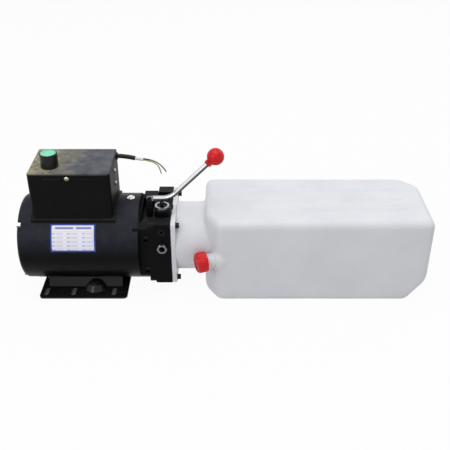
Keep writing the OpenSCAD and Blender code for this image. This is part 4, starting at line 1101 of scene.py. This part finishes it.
@dataclass
class FillerCap:
    """The ribbed red cap of the filler.

    Attributes:
        base: Start of the filler's axis.
        axis: Direction of the filler.
        reach: Distance from the base to the cap's open end.
        radius: Outside radius.
        height: Height of the cap.
        bore: Radius of its inside.
        ribs: Number of grip ribs.
        rib_rise: How far a rib stands out.
        rib_ends: Distance of a rib's ends from the open end and from the top.
    """

    base: Point = OilTank.filler
    axis: Point = OilTank.filler_axis
    reach: float = 19.0
    radius: float = 18.9
    height: float = 19.0
    bore: float = 13.6
    ribs: int = 28
    rib_rise: float = 0.75
    rib_ends: tuple[float, float] = (2.9, 3.0)

    def build(self) -> list[Piece]:
        """Makes the cap and returns it."""
        shape = Shape()
        r, h, dish = self.radius, self.height, self.height - 1.1
        outside = [
            (self.bore, 0.0), (r - 0.4, 0.0), (r, 0.5), (r, 2.6), (r - 0.7, 3.2),
            (r - 0.8, h - 4.0), *arc(r - 3.8, h - 3.6, 3.0, 0, 90, 5), (r - 6.5, h - 0.6),
            (r - 7.5, dish), (0.0, dish),
        ]
        inside = [(0.0, dish - 2.6), (self.bore, dish - 2.6), (self.bore, 0.0)]
        place = facing(Vector(self.base) + Vector(self.axis) * self.reach, self.axis)
        steps = self.ribs * 4
        for profile in (outside, inside):
            shape.lathe(profile, place, steps)
        bmesh.ops.remove_doubles(shape.bm, verts=shape.bm.verts[:], dist=MERGE)
        bmesh.ops.recalc_face_normals(shape.bm, faces=shape.bm.faces[:])
        back, (low, high) = place.inverted(), self.rib_ends
        for vert in shape.bm.verts:
            local = back @ vert.co
            around = math.atan2(local.y, local.x) / math.tau * steps
            out = math.hypot(local.x, local.y) / MM
            if round(around) % 4 in (1, 2) and low < local.z / MM < h - high and out > r - 1.2:
                local.xy *= (out + self.rib_rise) / out
                vert.co = place @ local
        return [shape.piece("filler_cap_red", Surface.red_plastic, "filler_cap", "cap", 50.0)]


@dataclass
class LeverKnob:
    """The red ball of the release lever with the collar that it is moulded with.

    Attributes:
        radius: Radius of the ball.
        slope: Direction of the lever's handle.
        bore_r: Radius of the hole for the handle.
        bore_l: Depth of that hole.
        collar_r: Radius of the collar.
        collar_l: Length from the ball's centre to the end of the collar.
        root_r: Radius at which the ball runs into the collar.
    """

    radius: float = 15.5
    slope: Point = (1.0, 0.0, 1.0)
    bore_r: float = 4.55
    bore_l: float = 6.0
    collar_r: float = 6.9
    collar_l: float = 20.8
    root_r: float = 7.4

    def build(self) -> list[Piece]:
        """Makes the ball and returns it."""
        _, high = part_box("lever_knob")
        centre = (high - Vector((self.radius,) * 3) * MM) / MM
        start = -math.degrees(math.acos(self.root_r / self.radius))
        bore, collar, end = self.bore_r, self.collar_r, -self.collar_l
        profile = [
            (bore, end + self.bore_l), (bore, end), (collar - 0.6, end), (collar, end + 0.6),
            (collar, -16.4), (collar + 0.1, -15.2), *arc(0, 0, self.radius, start, 90, 22),
        ]
        shape = Shape()
        shape.lathe(profile, facing(centre, self.slope))
        return [shape.piece("lever_knob_red", Surface.red_plastic, "lever_knob", "lever", 50.0)]


@dataclass
class StartButton:
    """The green button in its black guard on the top of the control box.

    Attributes:
        button_r: Radius of the green cap.
        button_h: Height of the cap over its stem.
        stem_r: Radius of the button's stem.
        guard_r: Outside radius of the guard.
        guard_z: Height at which the guard starts.
        neck_r: Radius of the guard's neck in the box.
        cup_r: Inside radius of the guard.
        bush_r: Radius of the hole for the stem.
    """

    button_r: float = 13.5
    button_h: float = 11.0
    stem_r: float = 4.9
    guard_r: float = 15.5
    guard_z: float = 246.4
    neck_r: float = 11.0
    cup_r: float = 13.6
    bush_r: float = 5.1

    def build(self) -> list[Piece]:
        """Makes the button and the guard and returns them."""
        low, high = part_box("push_button")
        guard_low, guard_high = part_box("button_guard")
        place = Matrix.Translation(((low.x + high.x) / 2, (low.y + high.y) / 2, 0.0))
        top, bottom, r, stem = high.z / MM, low.z / MM, self.button_r, self.stem_r
        skirt = top - self.button_h
        profile = [
            (0, bottom), (stem, bottom), (stem, skirt), (r - 0.4, skirt), (r, skirt + 0.4),
            *arc(r - 1.2, top - 1.2, 1.2, 0, 90, 4), (r - 2.6, top), (r - 3.2, top - 0.5),
            (r - 3.6, top - 1.3), (r - 5.0, top - 1.2), (r - 9.0, top - 0.8), (0, top - 0.7),
        ]
        shape = Shape()
        shape.lathe(profile, place)
        green = Surface.green_plastic
        button = shape.piece("green_button", green, "push_button", "button", 35.0)

        neck, rim = guard_low.z / MM, guard_high.z / MM
        edge, g, cup, bush = self.guard_z, self.guard_r, self.cup_r, self.bush_r
        profile = [
            (bush, neck), (self.neck_r, neck), (self.neck_r, edge), (g - 0.5, edge),
            (g, edge + 0.5), (g, edge + 3.6), (g - 0.35, edge + 4.0), (g - 0.35, edge + 4.6),
            (g, edge + 5.0), *arc(g - 0.9, rim - 0.9, 0.9, 0, 90, 4), (cup + 0.5, rim),
            (cup, rim - 0.5), (cup, edge + 5.6), (bush, edge + 5.6),
        ]
        shape = Shape()
        shape.lathe(profile, place, closed=True)
        black = Surface.black_plastic
        return [button, shape.piece("button_guard_ring", black, "button_guard", sharp=35.0)]


@dataclass
class ReturnSprings:
    """The springs under the valve stem and the button.

    Attributes:
        runs: CAD node, joint that presses it and stroke of each spring; the joint and the stroke
            are not used.
    """

    runs: tuple[tuple[str, str, float], ...] = (
        ("valve_spring", "lever_pivot", 2.91),
        ("button_spring", "button_press", 4.0),
    )

    def build(self) -> list[Piece]:
        """Makes the springs and returns them."""
        made = []
        for node, joint, stroke in self.runs:
            shape = Shape()
            shape.bm.from_mesh(frame["nodes"][node].data)
            bmesh.ops.remove_doubles(shape.bm, verts=shape.bm.verts[:], dist=MERGE)
            coil = shape.piece(node + "_coil", Surface.steel, node, sharp=60.0)
            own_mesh(coil)
            made.append(coil)
        return made


@dataclass
class NamePlate:
    """The printed rating plate, bent round the shell.

    Attributes:
        ends: X of both ends.
        angles: Its lower and upper edge, in degrees above the level of the shaft.
        rise: Height of its outside over the shell.
        thickness: Thickness of the foil.
    """

    ends: tuple[float, float] = (-48.5, 33.0)
    angles: tuple[float, float] = (9.0, 46.0)
    rise: float = 0.6
    thickness: float = 0.5

    def build(self) -> list[Piece]:
        """Makes the plate and returns it."""
        shape = Shape()
        bm = shape.bm
        bm.loops.layers.uv.new("print")
        bmesh.ops.create_grid(bm, x_segments=12, y_segments=24, size=0.5, calc_uvs=True)
        (left, right), (low, high) = self.ends, self.angles
        radius = SHELL_R + self.rise
        for vert in bm.verts:
            along, up = vert.co.x + 0.5, vert.co.y + 0.5
            angle = math.radians(low + (high - low) * up)
            y, z = -radius * math.cos(angle), AXIS_Z + radius * math.sin(angle)
            vert.co = Vector((left + (right - left) * along, y, z)) * MM
        plate = shape.piece("rating_plate", Surface.plate, "name_plate")
        thicken = plate.modifiers.new("thickness", "SOLIDIFY")
        thicken.thickness, thicken.offset = self.thickness * MM, -1.0
        return [plate]


@dataclass
class FootWelds:
    """Weld beads where the saddle walls of the foot meet the shell.

    Attributes:
        drop: Distance of the bead's line under the shaft.
        runs: Both ends of each bead along the shaft.
        step: Distance between two ripples.
        bead_r: Radius of a ripple.
        flat: Its thickness along the bead, as a share of its height.
        wander: How far the bead's line and size vary.
        beat: Angle in radians by which that goes on from ripple to ripple.
    """

    drop: float = 58.0
    runs: tuple[tuple[float, float], ...] = ((-66.0, -34.0), (36.0, 66.0))
    step: float = 2.2
    bead_r: float = 2.3
    flat: float = 0.75
    wander: float = 0.12
    beat: float = 2.3

    def build(self) -> list[Piece]:
        """Makes the beads and returns them."""
        made = []
        out = math.sqrt(SHELL_R**2 - self.drop**2)
        flat = Matrix.Diagonal((self.flat, 1.0, 1.0, 1.0))
        for side, name in ((-1, "front"), (1, "back")):
            shape = Shape()
            for start, end in self.runs:
                for i in range(int((end - start) / self.step) + 1):
                    wave = self.wander * math.sin(i * self.beat)
                    y, z = side * (out + wave), AXIS_Z - self.drop + wave
                    spot = (start + i * self.step, y, z)
                    bmesh.ops.create_uvsphere(
                        shape.bm, u_segments=12, v_segments=8, radius=(self.bead_r + wave) * MM,
                        matrix=Matrix.Translation(Vector(spot) * MM) @ flat,
                    )
            name = "foot_weld_" + name
            made.append(shape.piece(name, Surface.foot_black, sharp=80.0, own=BEAD))
        return made


def dress_frame() -> None:
    """Gives every node of the frame its own finish or the one that its material slot names."""
    for part in frame["record"]["subparts"]:
        node = frame["nodes"][part["node"]]
        node.data.materials.clear()
        finish = OWN.get(part["node"], Surface[part["material_slot"]].value)
        node.data.materials.append(finish.material())


def report(pieces: Iterable[Piece]) -> None:
    """Logs each piece with the number of its vertices."""
    for piece in pieces:
        size = len(piece.data.vertices) if piece.type == "MESH" else "curve"
        LOG.info("%s: %s", piece.name, size)


def main() -> None:
    """Builds the scene in order: camera and cable, the other pieces, then the studio."""
    logging.basicConfig(level=logging.INFO, format="%(name)s %(message)s")
    bpy.context.scene.view_settings.view_transform = "Standard"
    Camera().build()
    report(SupplyCable().build())
    dress_frame()
    for part in (OilTank, FillerCap, LeverKnob, StartButton, ReturnSprings, NamePlate, FootWelds):
        report(part().build())
    Studio().build()


if __name__ == "__main__":
    main()
